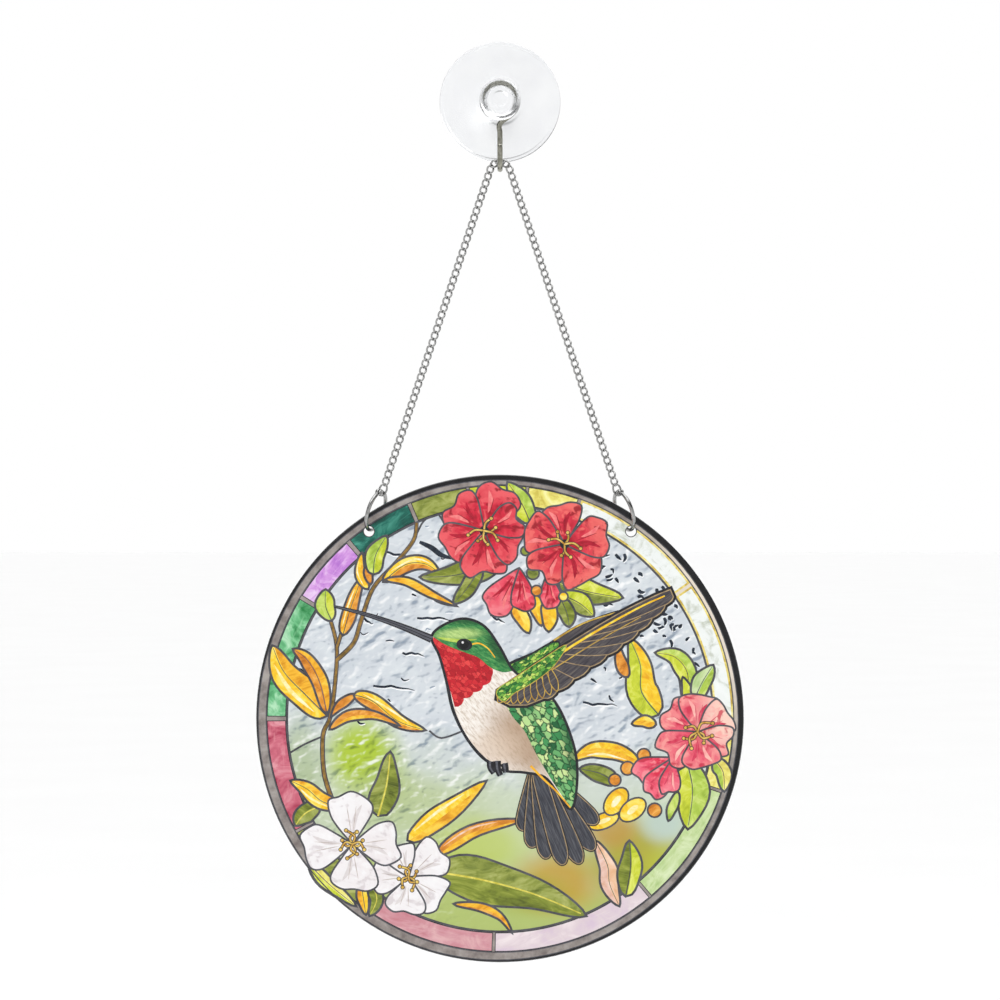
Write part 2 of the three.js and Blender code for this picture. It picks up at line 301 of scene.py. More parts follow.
def sky_glass():
    """Pale hammered glass that turns green and gold towards the foot of the picture"""
    graph = printed("sky_glass")
    drifts = graph.grain((17, 12), distortion=0.5)
    colour = graph.ramp(drifts, [(0.3, "c8d0d7"), (0.5, "d1d7dd"), (0.7, "dae0e4")])
    height = graph.node("ShaderNodeSeparateXYZ", {0: graph.place()}).outputs[1]
    drift = graph.math("MULTIPLY", graph.math("SUBTRACT", graph.grain((34, 26)), 0.5), 60)
    low = graph.math("ADD", height, drift)
    colour = graph.mix(graph.step(low, -2, -40, 0.8), colour, "c6d3b0")
    colour = graph.mix(graph.step(low, -38, -74, 0.85), colour, "abbc5a")
    for blob in (
        ((-57, -15), (22, 24), "adc71c", 0.95), ((-47, -27), (18, 16), "a3bb55", 0.6),
        ((-82, -22), (14, 34), "a9bb8c", 0.8), ((-40, -36), (44, 18), "b4c48c", 0.75),
        ((-8, -52), (32, 17), "bccc5a", 0.7), ((4, -68), (26, 12), "ccd8b0", 0.6),
        ((24, -67), (26, 18), "c29a34", 0.85), ((12, -72), (22, 12), "a3a836", 0.6),
        ((54, -58), (26, 24), "aca32c", 0.9), ((46, -46), (15, 11), "bd9440", 0.8),
        ((67, -43), (13, 11), "bccfc6", 0.85), ((71, -62), (18, 15), "b9c23c", 0.8),
        ((40, -30), (18, 14), "ccd5cc", 0.6),
    ):
        colour = graph.blob(colour, *blob)
    calm = graph.vector("LENGTH", graph.place((38, -66), (88, 52)))
    depth = graph.step(calm, 0.55, 1.15)
    coarse = graph.relief((11, 6.5), 0.55, 0.9, detail=1.5)
    fine = graph.relief((4.5, 3), 0.3, 0.8, detail=1.5)
    lumps = graph.math("ADD", graph.math("MULTIPLY", coarse, 0.62), graph.math("MULTIPLY", fine, 0.38))
    lit = graph.mix(0.7, colour, "ffffff")
    colour = graph.mix(graph.step(lumps, 0.52, 0.82, depth), colour, lit)
    shaded = graph.mix(1.0, colour, "b3bcc8", "MULTIPLY")
    colour = graph.mix(graph.step(lumps, 0.46, 0.2, depth), colour, shaded)
    return graph.finish(colour, lumps, bump=0.2, bump_depth=0.0003)


def plumage(name, tones, cell, turn, edge, edge_width, shades=()):
    """Small overlapping feathers: cells of mixed tones with dark edges, shaded in soft ovals"""
    graph = printed(name)
    place = graph.place(size=cell, turn=turn)
    wobble = graph.noise(place, scale=1.3, detail=2)
    inputs = {"Vector": graph.vector("ADD", place, wobble), "Scale": 1.0}
    cells = graph.node("ShaderNodeTexVoronoi", inputs)
    edges = graph.node("ShaderNodeTexVoronoi", inputs, feature="DISTANCE_TO_EDGE")
    pick = graph.node("ShaderNodeSeparateColor", {0: cells.outputs["Color"]}).outputs[0]
    colour = graph.ramp(pick, tones)
    rim = graph.step(edges.outputs["Distance"], 0.0, edge_width)
    colour = graph.mix(rim, edge, colour)
    for centre, size, strength, lean in shades:
        colour = graph.blob(colour, centre, size, edge, strength, lean)
    return graph.finish(colour, rim)


def feathered(name, tones, size, turn):
    """Long feathers, streaked along their length"""
    graph = printed(name)
    streaks = graph.grain(size, turn, detail=4, roughness=0.65, distortion=0.3)
    return graph.finish(graph.ramp(streaks, tones), streaks)


def head_feathers():
    """Short green feathers, light in a band over the eye and dark at the crown and the nape"""
    graph = printed("head_feathers")
    down = graph.grain((3.0, 0.9), -0.45, detail=4, roughness=0.7, distortion=0.4)
    colour = graph.ramp(down, [(0.3, "1f5c35"), (0.5, "3a8a4b"), (0.7, "72b463")])
    light = graph.ramp(down, [(0.3, "8fbf62"), (0.7, "d9eb9c")])
    colour = graph.blob(colour, (-17, 34.6), (13, 3.4), light, 0.9, turn=0.05)
    colour = graph.blob(colour, (0, 28), (5, 13), "173f27", 0.75, turn=0.65)
    colour = graph.blob(colour, (-13, 40.5), (14, 3.2), "1b4a2c", 0.75)
    return graph.finish(colour, down)


def breast_feathers():
    """Pale down, brown in its shade towards the belly"""
    graph = printed("breast_feathers")
    down = graph.grain((3.2, 0.9), -0.9, detail=4, roughness=0.7)
    colour = graph.ramp(down, [(0.3, "dccdbb"), (0.5, "f3ebe2"), (0.7, "fdf9f4")])
    colour = graph.blob(colour, (10, -9), (17, 26), "b4967a", 0.9, turn=0.7)
    colour = graph.blob(colour, (-2, -12), (15, 11), "dcc6b1", 0.7)
    colour = graph.mix(graph.step(down, 0.52, 0.38, 0.25), colour, "9c8168")
    return graph.finish(colour, down)


def lead_came(name, dark, light, wash=None):
    """The printed lines of lead, mottled"""
    graph = printed(name)
    mottle = graph.grain((7, 7), detail=5, roughness=0.65)
    colour = graph.ramp(mottle, [(0.35, dark), (0.65, light)])
    if wash:
        colour = graph.blob(colour, *wash)
    return graph.finish(colour, mottle)


def plain_print(name, dark, light):
    graph = printed(name)
    tone = graph.grain((2.5, 2.5))
    return graph.finish(graph.ramp(tone, [(0.35, dark), (0.65, light)]))


def acrylic_edge():
    """The polished edge of the sheet, which shows the print's black rim"""
    graph = Graph("acrylic_edge", roughness=0.1, Coat_Weight=0.6, Coat_Roughness=0.04, IOR=1.49)
    polish = graph.grain((3, 3), detail=4)
    return graph.finish(graph.ramp(polish, [(0.3, "1d1d20"), (0.7, "35353a")]), polish, bump=0.05)


def nickel(name, light, dark, roughness):
    """Bright plated wire with faint drawing marks"""
    graph = Graph(name, roughness, metallic=1.0)
    marks = graph.noise(graph.coordinates, scale=900, detail=4, roughness=0.6)
    colour = graph.ramp(marks, [(0.3, dark), (0.7, light)])
    inputs = {"Value": marks, "To Min": roughness * 0.7, "To Max": roughness * 1.5}
    glint = graph.node("ShaderNodeMapRange", inputs).outputs["Result"]
    graph.tree.links.new(glint, graph.shader.inputs["Roughness"])
    return graph.finish(colour, marks, bump=0.03, bump_depth=0.00005)


def clear_vinyl():
    graph = Graph("clear_vinyl", roughness=0.24, Transmission_Weight=1.0, IOR=1.42)
    ripple = graph.noise(graph.coordinates, scale=90, detail=3)
    tint = graph.ramp(ripple, [(0.3, "f3f4f6"), (0.7, "f9fafb")])
    return graph.finish(tint, ripple, bump=0.12, bump_depth=0.0004)


def area(outline):
    pairs = zip(outline, outline[1:] + outline[:1])
    return sum(a.x * b.y - b.x * a.y for a, b in pairs) / 2


def anticlockwise(outline):
    return outline if area(outline) > 0 else outline[::-1]


def smooth(points, closed=True, steps=5):
    """A curve through the points, with rounded corners"""
    points = [Vector(p) for p in points]
    count = len(points)
    spans = count if closed else count - 1
    curve = []
    for i in range(spans):
        if closed:
            a, b, c, d = (points[(i + k) % count] for k in (-1, 0, 1, 2))
        else:
            a, b, c, d = (points[min(max(i + k, 0), count - 1)] for k in (-1, 0, 1, 2))
        linear, square, cubic = c - a, 2 * a - 5 * b + 4 * c - d, 3 * b - a - 3 * c + d
        for step in range(steps):
            t = step / steps
            curve.append(b + linear * (t / 2) + square * (t * t / 2) + cubic * (t**3 / 2))
    if not closed:
        curve.append(points[-1])
    return curve


def curve(points, steps=5):
    """A smooth line from the first point to the last"""
    return smooth(points, False, steps)


def offset(outline, distance):
    """The outline moved outwards by a distance, or inwards by a negative one"""
    outline = anticlockwise(outline)
    moved = []
    for before, here, after in zip(outline[-1:] + outline[:-1], outline, outline[1:] + outline[:1]):
        arriving, leaving = (here - before).normalized(), (after - here).normalized()
        tangent = arriving + leaving
        tangent = tangent.normalized() if tangent.length > 0.05 else arriving
        outwards = Vector((tangent.y, -tangent.x))
        share = max(0.45, outwards.dot(Vector((arriving.y, -arriving.x))))
        moved.append(here + outwards * (distance / share))
    return moved


def strip(route, width, end_width=None, middle_width=None):
    """The outline of a line along a route, from one width to another"""
    end_width = width if end_width is None else end_width
    left, right = [], []
    last = len(route) - 1
    for i, here in enumerate(route):
        tangent = (route[min(i + 1, last)] - route[max(i - 1, 0)]).normalized()
        side = Vector((-tangent.y, tangent.x))
        t = i / last
        half = (width + (end_width - width) * t) / 2
        if middle_width is not None:
            half += (middle_width - (width + end_width) / 2) * math.sin(math.pi * t) / 2
        left.append(here + side * half)
        right.append(here - side * half)
    return left + right[::-1]


def angles_round(count):
    return [2 * math.pi * i / count for i in range(count)]


def circle(centre, radius, sides=20):
    centre = Vector(centre)
    return [centre + Vector((math.cos(a), math.sin(a))) * radius for a in angles_round(sides)]


def oval(centre, length, width, angle):
    turn = Matrix.Rotation(math.radians(angle), 2)
    return [Vector(centre) + turn @ Vector((p.x * length / 2, p.y * width / 2)) for p in circle((0, 0), 1)]


def band(inner, outer, start, end):
    """A piece of the border, between two radii and two angles in degrees"""
    steps = max(2, int((end - start) / 2.5))
    angles = [math.radians(start + (end - start) * i / steps) for i in range(steps + 1)]
    ways = [Vector((math.cos(a), math.sin(a))) for a in angles]
    return [way * outer for way in ways] + [way * inner for way in ways[::-1]]


# The regions of the picture, each an outline and its material. Later ones lie on top.
regions = []
chance = random.Random(5)


def paint(outline, material):
    regions.append((anticlockwise(list(outline)), material))


def leaded(outline, material, lead=LEAD, came="lead"):
    """A piece of glass with its line of lead, half outside its outline and half inside"""
    paint(offset(outline, lead / 2), came)
    paint(offset(outline, -lead / 2), material)


def line(points, material="lead", width=LEAD, end_width=None, middle_width=None, steps=5):
    """A painted line on a curve through the points"""
    paint(strip(curve(points, steps), width, end_width, middle_width), material)


def lens(start, end, width, bend=0.0):
    """A thin pointed oval from start to end, bowed to the left"""
    start, end = Vector(start), Vector(end)
    side = Vector((start.y - end.y, end.x - start.x)).normalized()
    route = curve([start, (start + end) / 2 + side * bend, end], 4)
    return strip(route, 0.05, 0.05, width)


def leaf(spine, width, left, right=None, rib="lead", rib_width=0.4, shine=None, fullest=0.42):
    """A pointed leaf about its midrib, with a glass on each side and a lighter streak on the left"""
    route = curve(spine, 6)
    last = len(route) - 1
    sides = []
    for sign in (1, -1):
        edge = []
        for i, here in enumerate(route):
            t = i / last
            tangent = (route[min(i + 1, last)] - route[max(i - 1, 0)]).normalized()
            grown = math.sin(math.pi * t ** (math.log(0.5) / math.log(fullest))) ** 0.8
            wave = 1 + 0.09 * math.sin(9 * t + width + sign)
            edge.append(here + Vector((-tangent.y, tangent.x)) * (sign * grown * wave * width / 2))
        sides.append(edge)
    outline = sides[0] + sides[1][-2:0:-1]
    leaded(outline, left)
    if right:
        paint(offset(route + sides[1][-2:0:-1], -LEAD / 2), right)
    if shine:
        places = [route[i].lerp(sides[0][i], 0.5) for i in (last // 5, last // 2, last * 4 // 5)]
        line(places, shine, 0.05, 0.05, width * 0.13, steps=3)
    if rib:
        paint(strip(route[:-1], rib_width, rib_width * 0.5), rib)


def petal(centre, angle, length, width, point=-0.03):
    """A broad, slightly uneven petal from a flower's heart out to a notched or pointed tip"""
    profile = (
        (0.05, 0.04), (0.3, 0.27), (0.58, 0.46), (0.83, 0.47), (0.97, 0.27), (0.96 + point, 0.0),
        (0.98, -0.26), (0.83, -0.48), (0.6, -0.45), (0.32, -0.26), (0.05, -0.04),
    )
    turn = Matrix.Rotation(math.radians(angle), 2)
    uneven = [chance.uniform(0.93, 1.07) for _ in profile]
    points = [turn @ Vector((x * length * u, y * width * u)) for (x, y), u in zip(profile, uneven)]
    return smooth([Vector(centre) + p for p in points], steps=4)


def along(centre, angle, distance):
    return Vector(centre) + Matrix.Rotation(math.radians(angle), 2) @ Vector((distance, 0))


RED = ("red_deep", "red_light", "red_vein")
CORAL = ("coral_deep", "coral_light", "coral_vein")
WHITE = ("white_fold", "white", "white_vein")


def bloom(centre, petals, glass, tones, point=-0.03):
    """A flower or bud. Each petal is an angle, a length and a width, and has folds and fine veins."""
    for angle, length, width in petals:
        leaded(petal(centre, angle, length, width, point), glass, FINE_LEAD)
        lean = math.degrees(width / length) * 0.3
        for tone, turns, shares, wide, bend in (
            (tones[0], (-0.5, -1), (0.22, 0.8), width * 0.1, width * 0.06),
            (tones[1], (0.7, 1), (0.4, 0.88), width * 0.1, -width * 0.05),
            (tones[2], (-0.35, -0.49), (0.25, 0.75), 0.4, 0),
            (tones[2], (0.3, 0.42), (0.25, 0.75), 0.4, 0),
        ):
            ends = [along(centre, angle + lean * t, length * s) for t, s in zip(turns, shares)]
            paint(lens(*ends, wide, bend), tone)


def stamens(centre, angles, length, curl=0.35):
    """Curled stamens round a flower's heart, gold with dark edges"""
    for i, angle in enumerate(angles):
        reach = length * (0.72 + 0.28 * (i % 3) / 2)
        sway = math.degrees(curl) * (1 if i % 2 else -1)
        route = curve([centre, along(centre, angle + sway, reach * 0.55), along(centre, angle, reach)])
        for width, tone in ((1.25, "ink"), (0.7, "stamen")):
            paint(strip(route, width), tone)
        for radius, tone in ((0.95, "ink"), (0.65, "stamen")):
            paint(circle(route[-1], radius, 10), tone)


def make_palette():
    """The picture's materials, named by what they are used for"""
    paling = ((89, 42), (66, 66), "eadfd0", 0.9)
    blush = ((93, 0), (17, 19), "fbdccb", 0.85)
    shades = (((13, 8), (11, 6), 0.7, 0.6), ((30, -12), (6, 24), 0.65, 0.15), ((6, -6), (3.5, 12), 0.5, 0.45))
    palette = {
        "sky": sky_glass(),
        "lead": lead_came("lead", "3c3c41", "5d5d63"),
        "came": lead_came("border_came", "7d7470", "aaa19c", paling),
        "ring_lead": lead_came("ring_lead", "776e6b", "a8a19c", paling),
    }
    for name, dark, light in (
        ("crease", "141c29", "2c3643"), ("sky_shade", "8594a5", "a5b2c0"), ("ink", "1c1c20", "2c2c32"),
        ("highlight", "eef1f5", "fbfcfd"), ("rim", "0b0b0d", "19191c"), ("rib", "c9bd3e", "ece06a"),
        ("bark", "6e5527", "a17c3c"), ("stamen", "b98632", "efcf6d"), ("gilt", "a9812f", "dcbc55"),
        ("shaft", "8f7a5c", "b89e74"), ("red_deep", "a01028", "c01c36"), ("red_light", "ec6a70", "f4908c"),
        ("red_vein", "8a0d20", "b01a30"), ("coral_deep", "d0304e", "e24e68"),
        ("coral_light", "f7a09f", "fbc6b8"), ("coral_vein", "d04a5c", "e2707c"),
        ("white_fold", "d9d1d2", "e4dedd"), ("white_vein", "b9aaa6", "d6cbc6"),
    ):
        palette[name] = plain_print(name, dark, light)
    for name, dark, middle, light, size, turn in (
        ("teal", "0b3f38", "1b6b5c", "4ea18d", (11, 5), 0.6),
        ("violet", "b26ccf", "d397e0", "ecd2f2", (9, 7), 0.9),
        ("green", "1f7d3e", "6fbf86", "b4e3bd", (8, 10), 1.1),
        ("pink", "a92f4c", "d06e81", "e4a2aa", (9, 11), 1.6),
        ("rose", "c67c88", "d398a0", "e3b7ba", (14, 9), -0.2),
        ("lilac", "d6bfd4", "e0d0d6", "f0e4e6", (16, 10), 0.4),
        ("spring", "a8c87e", "c6da9e", "dfecc4", (14, 9), 0.9),
        ("cream", "c3c9ba", "eff3f0", "f4f7f5", (7, 7), 0),
        ("cream_edge", "b08a2c", "e8d36a", "f7eeb0", (6, 6), 0),
        ("straw", "cdb94a", "ece377", "f7f3ae", (7, 7), 0),
        ("olive", "4f5a1c", "7d8a2e", "a4ad4b", (13, 5), -0.3),
        ("moss", "5f6d26", "8f9a44", "b3b86a", (10, 6), 0.2),
        ("lime", "a9b825", "cdd63a", "e6ea76", (8, 6), 0.9),
        ("fresh", "8fae3a", "b4cf52", "d7e583", (8, 7), 0.7),
        ("gold", "d88a18", "f3b42a", "fbd84e", (9, 5), 0.4),
        ("amber", "b8681a", "e0902f", "f2b758", (8, 4), 0.5),
        ("yellow", "e9a51f", "fad02c", "fdeb7a", (8, 6), -0.7),
        ("peach", "e2a878", "efc6a3", "f7dccb", (7, 9), 0),
        ("peach_shade", "d9a585", "e8bfae", "f2d9d2", (7, 9), 0),
        ("glow", "fbe07a", "fdf0b0", "fffbe6", (4, 4), 0),
    ):
        palette[name] = art_glass(f"{name}_glass", dark, middle, light, size, turn)
    for name, centre, reach, *looks in (
        ("red_left", (-6, 78), 19, "ab1026", "d62840", "ec5f66", "8c081c"),
        ("red_right", (27, 72), 19, "ab1026", "da3247", "f0706a", "930a1e"),
        ("red_bud", (12, 60), 26, "c41a34", "ea4a60", "f2808a", "a30f26"),
        ("coral", (81, -5.5), 21, "cf2846", "ec6176", "f6a39c", "cf2b49", blush),
        ("coral_bud", (66, -20), 18, "e02f4c", "f0647c", "f79aa0", "c5203c"),
        ("white", (-50, -58), 40, "efe9ea", "f1edee", "f6f4f5", "d8d0d2"),
    ):
        palette[name] = petal_glass(f"{name}_glass", centre, reach, *looks)
    greens = [(0.0, "226339"), (0.25, "3f9355"), (0.5, "78ba74"), (0.72, "b2d98e"), (1.0, "e2efa6")]
    for name, tones, *looks in (
        ("back_plumage", greens, (3.2, 2.1), -1.0, "1c4a2b", 0.15, shades),
        ("wing_plumage", [(0.0, "1b5a2b"), (0.4, "4a9a3c"), (0.75, "9ccc4f"), (1.0, "d9e876")],
         (1.8, 1.0), 0.5, "12351f", 0.1),
        ("gorget_plumage", [(0.0, "a81220"), (0.5, "cf2430"), (1.0, "e94a48")],
         (2.2, 1.5), -0.8, "8d0e1c", 0.05),
    ):
        palette[name] = plumage(name, tones, *looks)
    for name, tones, size, turn in (
        ("wing_dark", [(0.3, "333138"), (0.5, "4b474c"), (0.7, "6b6560")], (9, 0.8), 0.65),
        ("tail_dark", [(0.3, "2b2c33"), (0.5, "43454d"), (0.72, "66676c")], (9, 0.7), -1.15),
        ("bill", [(0.3, "3a3b42"), (0.7, "6d6f78")], (9, 0.6), -0.3),
    ):
        palette[name] = feathered(name, tones, size, turn)
    palette.update(head=head_feathers(), breast=breast_feathers(), edge=acrylic_edge())
    return palette


def draw_border():
    """The outer lead, the ring of border glass and the inner lead"""
    paint(circle((0, 0), disc_radius - DISC_BEVEL, RIM_SIDES), "ring_lead")
    for radius, came in ((BORDER_OUTER + 0.5, "lead"), (BORDER_OUTER, "came"), (BORDER_GLASS, "lead")):
        paint(circle((0, 0), radius, PICTURE_SIDES), came)
    for start, end, glass in (
        (113.3, 130.1, "teal"), (131.1, 148.2, "violet"), (149.1, 179.5, "green"), (180.5, 208.7, "pink"),
        (209.3, 236.7, "moss"), (237.3, 268.1, "rose"), (268.7, 309.9, "lilac"), (310.5, 341.5, "spring"),
        (342.1, 359.1, "straw"), (-0.1, 34.7, "cream"), (35.5, 69.5, "cream"), (70.3, 82.9, "straw"),
        (83.5, 97.7, "lime"), (98.3, 112.5, "moss"),
    ):
        edge, inset = ("cream_edge", 0.8) if glass == "cream" else ("ink", 0.3)
        turn = math.degrees(inset / BORDER_INNER)
        paint(band(BORDER_GLASS, BORDER_OUTER, start, end), edge)
        paint(band(BORDER_GLASS + inset, BORDER_OUTER - inset, start + turn, end - turn), glass)
    paint(circle((0, 0), FIELD_RADIUS, PICTURE_SIDES), "sky")


def draw_rim():
    """The black edge round the print, widened at the upper right by painted shade of the disc's thickness"""
    outer = circle((0, 0), disc_radius - DISC_BEVEL, RIM_SIDES)
    for radius, tone in ((PRINT_RADIUS - 0.7, "lead"), (PRINT_RADIUS - 0.3, "rim")):
        inner = circle(RIM_SHADE_SHIFT, radius, PICTURE_SIDES)
        paint([*outer, outer[0], *inner[::-1], inner[-1]], tone)


def mark_sky(route, tone, width, start_width, glint_width, drop):
    """A dark fold in the glass, with a glint at a drop below it"""
    paint(strip([p + Vector((0.2, -drop)) for p in route], glint_width, 0.2, width), "highlight")
    paint(strip(route, start_width, 0.2, width), tone)


def draw_sky_marks():
    """Dark creases in the hammered sky, which crowd and thicken towards the upper right"""
    line(((-33, 72.4), (-28, 70), (-24, 67), (-18.5, 65.4)), "crease", 1.2, 0.6, 2.2)
    for x, y, length, fall in (
        (-47, 68.5, 12, 3), (-46, 57, 10, 3), (-34, 41.5, 15, 1), (-57, 41, 5, 2), (-52, 13.5, 17, 1.5),
        (-84, 21, 6, 3), (-4, 42.5, 6, 3.5), (34, 6.5, 14, 1.2), (-40, 27, 9, 1), (20, -4, 8, 2),
    ):
        waves = [0.3 * math.sin(i + x) + 0.25 * math.sin(2.3 * i + y) for i in range(CREASE_STEPS + 1)]
        shares = [i / CREASE_STEPS for i in range(CREASE_STEPS + 1)]
        route = [(x + length * t, y - fall * t + wave) for t, wave in zip(shares, waves)]
        mark_sky(curve(route, 2), "crease", 0.9, 0.9, 0.4, 0.6)
    for _ in range(CREASE_TRIES):
        place = Vector((chance.uniform(-84, 84), chance.uniform(-12, 84)))
        crowding = max(0.0, 1 - (place - CROWD_CENTRE).length / CROWD_REACH)
        if place.length > FIELD_RADIUS - 1 or chance.random() > 0.045 + 0.8 * crowding:
            continue
        turn = chance.gauss(-12, 22 + 35 * crowding)
        length = chance.uniform(1.6, 3.6)
        middle = along(place, turn + chance.gauss(0, 25), length / 2)
        tip = along(place, turn, length)
        if tip.length > FIELD_RADIUS - 1:
            continue
        width = chance.uniform(0.5, 0.9) + 0.9 * crowding
        tone = "crease" if chance.random() < 0.6 + crowding else "sky_shade"
        route = curve([place, middle, tip], 3)
        mark_sky(route, tone, width, width * 0.75, 0.2, 0.35)


def draw_background_leads():
    """Lead lines that part the sky"""
    for points in (
        ((-72, -7), (-80, -10.5), (-86, -14)),
        ((-25, 83.5), (-21.5, 77.5), (-19.5, 70)),
        ((-34, 76), (-32, 80), (-30, 82.2)),
        ((-35, 56), (-26, 48), (-17.5, 46)),
        ((-29, -5), (-24, -8), (-15, -5)),
        ((8, -42), (10, -43), (13, -45)),
    ):
        line(points, width=0.8)


def stem(points, width):
    route = curve(points)
    paint(strip(route, width, width * 0.8), "lead")
    paint(strip(route, width - LEAD, (width - LEAD) * 0.75), "bark")


def draw_vine():
    """The climbing plant on the left, from its foot up to its top leaves"""
    leaf(((-71, 1), (-79, 9), (-88.5, 19), (-93.4, 30)), 13, "yellow", "gold", rib_width=0.55, shine="glow")
    leaf(((-71, 2), (-74, 15), (-79, 24), (-85, 28.5)), 7, "amber", "gold")
    stem(((-69, -33), (-72.2, -22), (-72.6, -7), (-69.5, 1), (-67.5, 16), (-67, 30), (-70, 42)), 2.2)
    stem(((-67, 24), (-60, 31), (-57, 40), (-52, 53.5), (-43, 63.5), (-35.5, 73), (-34.2, 80.3)), 2.2)
    stem(((-67, 29), (-62.5, 42), (-56, 55)), 1.9)
    leaf(((-69, 40), (-71.5, 46), (-71.5, 53)), 8, "fresh", "lime", fullest=0.5)
    leaf(((-64.5, 34), (-61, 46), (-56.5, 58)), 6, "gold", "amber", shine="glow")
    leaf(((-54, 53), (-57.5, 60), (-56.5, 68)), 4.5, "yellow", "gold", rib=None, shine="glow")
    leaf(((-53, 55), (-54, 61), (-52, 66)), 3.5, "amber", rib=None)
    leaf(((-52, 59), (-51, 67), (-46.5, 75)), 8, "fresh", "lime")
    leaf(((-48, 56), (-39, 63), (-31, 63.5), (-24.5, 59.5)), 6.5, "yellow", "amber", shine="glow")
    leaf(((-47, 57), (-38, 56), (-27, 50.5), (-17.5, 46)), 3.6, "gold", rib=None)
    leaf(((-69.5, 0.5), (-65, 6), (-59, 9.8)), 4, "amber", rib=None, fullest=0.6)
    leaf(((-60, 9.8), (-52, 7), (-42, -1), (-30.5, -4.8)), 7, "yellow", "amber", shine="glow")
    leaf(((-70, -4.5), (-62, 1), (-52, 1.5), (-41, -3)), 4.5, "amber", "gold", rib=None)


def draw_top_flowers():
    """Two red flowers with buds and leaves at the top of the picture"""
    leaf(((2, 65), (-8, 61.5), (-20, 58.5), (-33, 58)), 10, "moss", "olive", rib_width=0.5)
    leaf(((-8, 62), (-13, 54), (-19, 47)), 7, "olive", "moss")
    leaf(((12.5, 80), (9, 88), (3, 97)), 9, "lime", "fresh", rib_width=0.5)
    leaf(((24, 56), (36, 52), (50.5, 49.5)), 10, "lime", "moss", rib_width=0.5)
    leaf(((25, 51), (33, 47), (38.5, 42)), 8.5, "lime", "moss", rib_width=0.5)
    leaf(((25, 49), (27.5, 43), (28.5, 37.5)), 7, "olive", "moss")
    for base, tip, wide in (
        ((6, 48), (12, 35), 6.5), ((13.5, 51), (17, 38), 5.5), ((20.5, 49), (20, 35.5), 7)
    ):
        leaf((base, Vector(base).lerp(Vector(tip), 0.5), tip), wide, "yellow", "gold", rib=None)
    bloom((8, 62), ((-122, 21, 13), (-84, 18, 10)), "red_bud", RED, 0.05)
    bloom((19.5, 60), ((-84, 14, 9),), "red_bud", RED, 0.04)
    for place, radius, glass in (
        ((15, 52.4), 2.2, "amber"), ((26, 50), 1.9, "yellow"), ((13.5, 59.6), 2.6, "moss")
    ):
        leaded(circle(place, radius, 14), glass, FINE_LEAD)
    petals = ((66, 19, 19), (140, 17.5, 18), (203, 18, 18), (268, 19, 19), (335, 17, 17), (20, 16, 15))
    bloom((-6.5, 77), petals, "red_left", RED)
    leaded(circle((10.4, 68.7), 1.9, 12), "olive", FINE_LEAD)
    petals = ((98, 17, 18), (160, 17.5, 18), (230, 16.5, 17), (304, 18.5, 19), (12, 18.5, 18))
    bloom((26.5, 71.5), petals, "red_right", RED)
    for centre, angles in (
        ((-6.5, 77), (15, 60, 195, 238, 285, 325)), ((26.5, 71.5), (75, 120, 165, 255, 295, 345))
    ):
        paint(circle(centre, 2.0, 12), "ink")
        stamens(centre, angles, 6.8)


def draw_right_flowers():
    """The coral flower on the right with its buds, pods and leaves"""
    leaf(((65, 1.5), (58, 11), (57.5, 22), (53, 33)), 13, "lime", "yellow", rib_width=0.5, fullest=0.36)
    leaf(((52.5, 17), (49.5, 23), (48.8, 29.5)), 5, "amber", rib=None)
    leaf(((76, 7), (77, 18), (72, 25), (63.5, 27)), 8.5, "lime", "fresh")
    leaf(((77, 7), (76.5, 12), (75, 17)), 4, "lime", rib=None)
    leaf(((80, 8.5), (83, 15), (87.5, 22)), 8, "spring", "fresh")
    leaf(((64, -2.5), (59, -1.2), (54, -2.2)), 4.8, "gold", "yellow", rib=None)
    leaf(((57, -18), (47, -13.6), (38, -12.8), (29.5, -17.5)), 7.5, "gold", "yellow", rib=None, shine="glow")
    leaf(((47.5, -26.5), (41, -22.5), (32.5, -20.6)), 7.5, "olive", "moss", rib_width=0.5)
    for place, radius in (((52.3, -20.4), 2.8), ((47.1, -25.2), 2.5), ((59, -15), 2.7), ((63.4, -37.6), 2.9)):
        leaded(circle(place, radius, 16), "amber", FINE_LEAD)
    for place, length, wide, angle in (
        ((42.6, -42), 13, 6.4, 22), ((47.6, -34), 13, 8.2, 52), ((54.4, -37.4), 12.5, 8, 38)
    ):
        pod = oval(place, length, wide, angle)
        leaded(pod, "yellow", FINE_LEAD)
        paint(oval(place, length * 0.45, wide * 0.3, angle), "glow")
    leaf(((88, -17), (91.5, -22), (92, -30)), 7, "straw", "fresh")
    leaf(((77, -19), (79, -30), (77, -45.5)), 14, "fresh", "lime", rib_width=0.5, fullest=0.4)
    leaf(((73, -30), (70.5, -37), (69, -42)), 4, "fresh", rib=None)
    bloom((71, -16), ((-150, 17, 13), (-122, 18, 11), (-98, 15, 9)), "coral_bud", CORAL, 0.04)
    petals = ((140, 16, 16), (88, 15.5, 16), (32, 15.5, 15), (338, 14.5, 14), (215, 17, 17), (278, 15.5, 17))
    bloom((81, -5.5), petals, "coral", CORAL)
    stamens((81, -5.5), (160, 205, 250, 300, 345, 30), 7.2, curl=0.6)


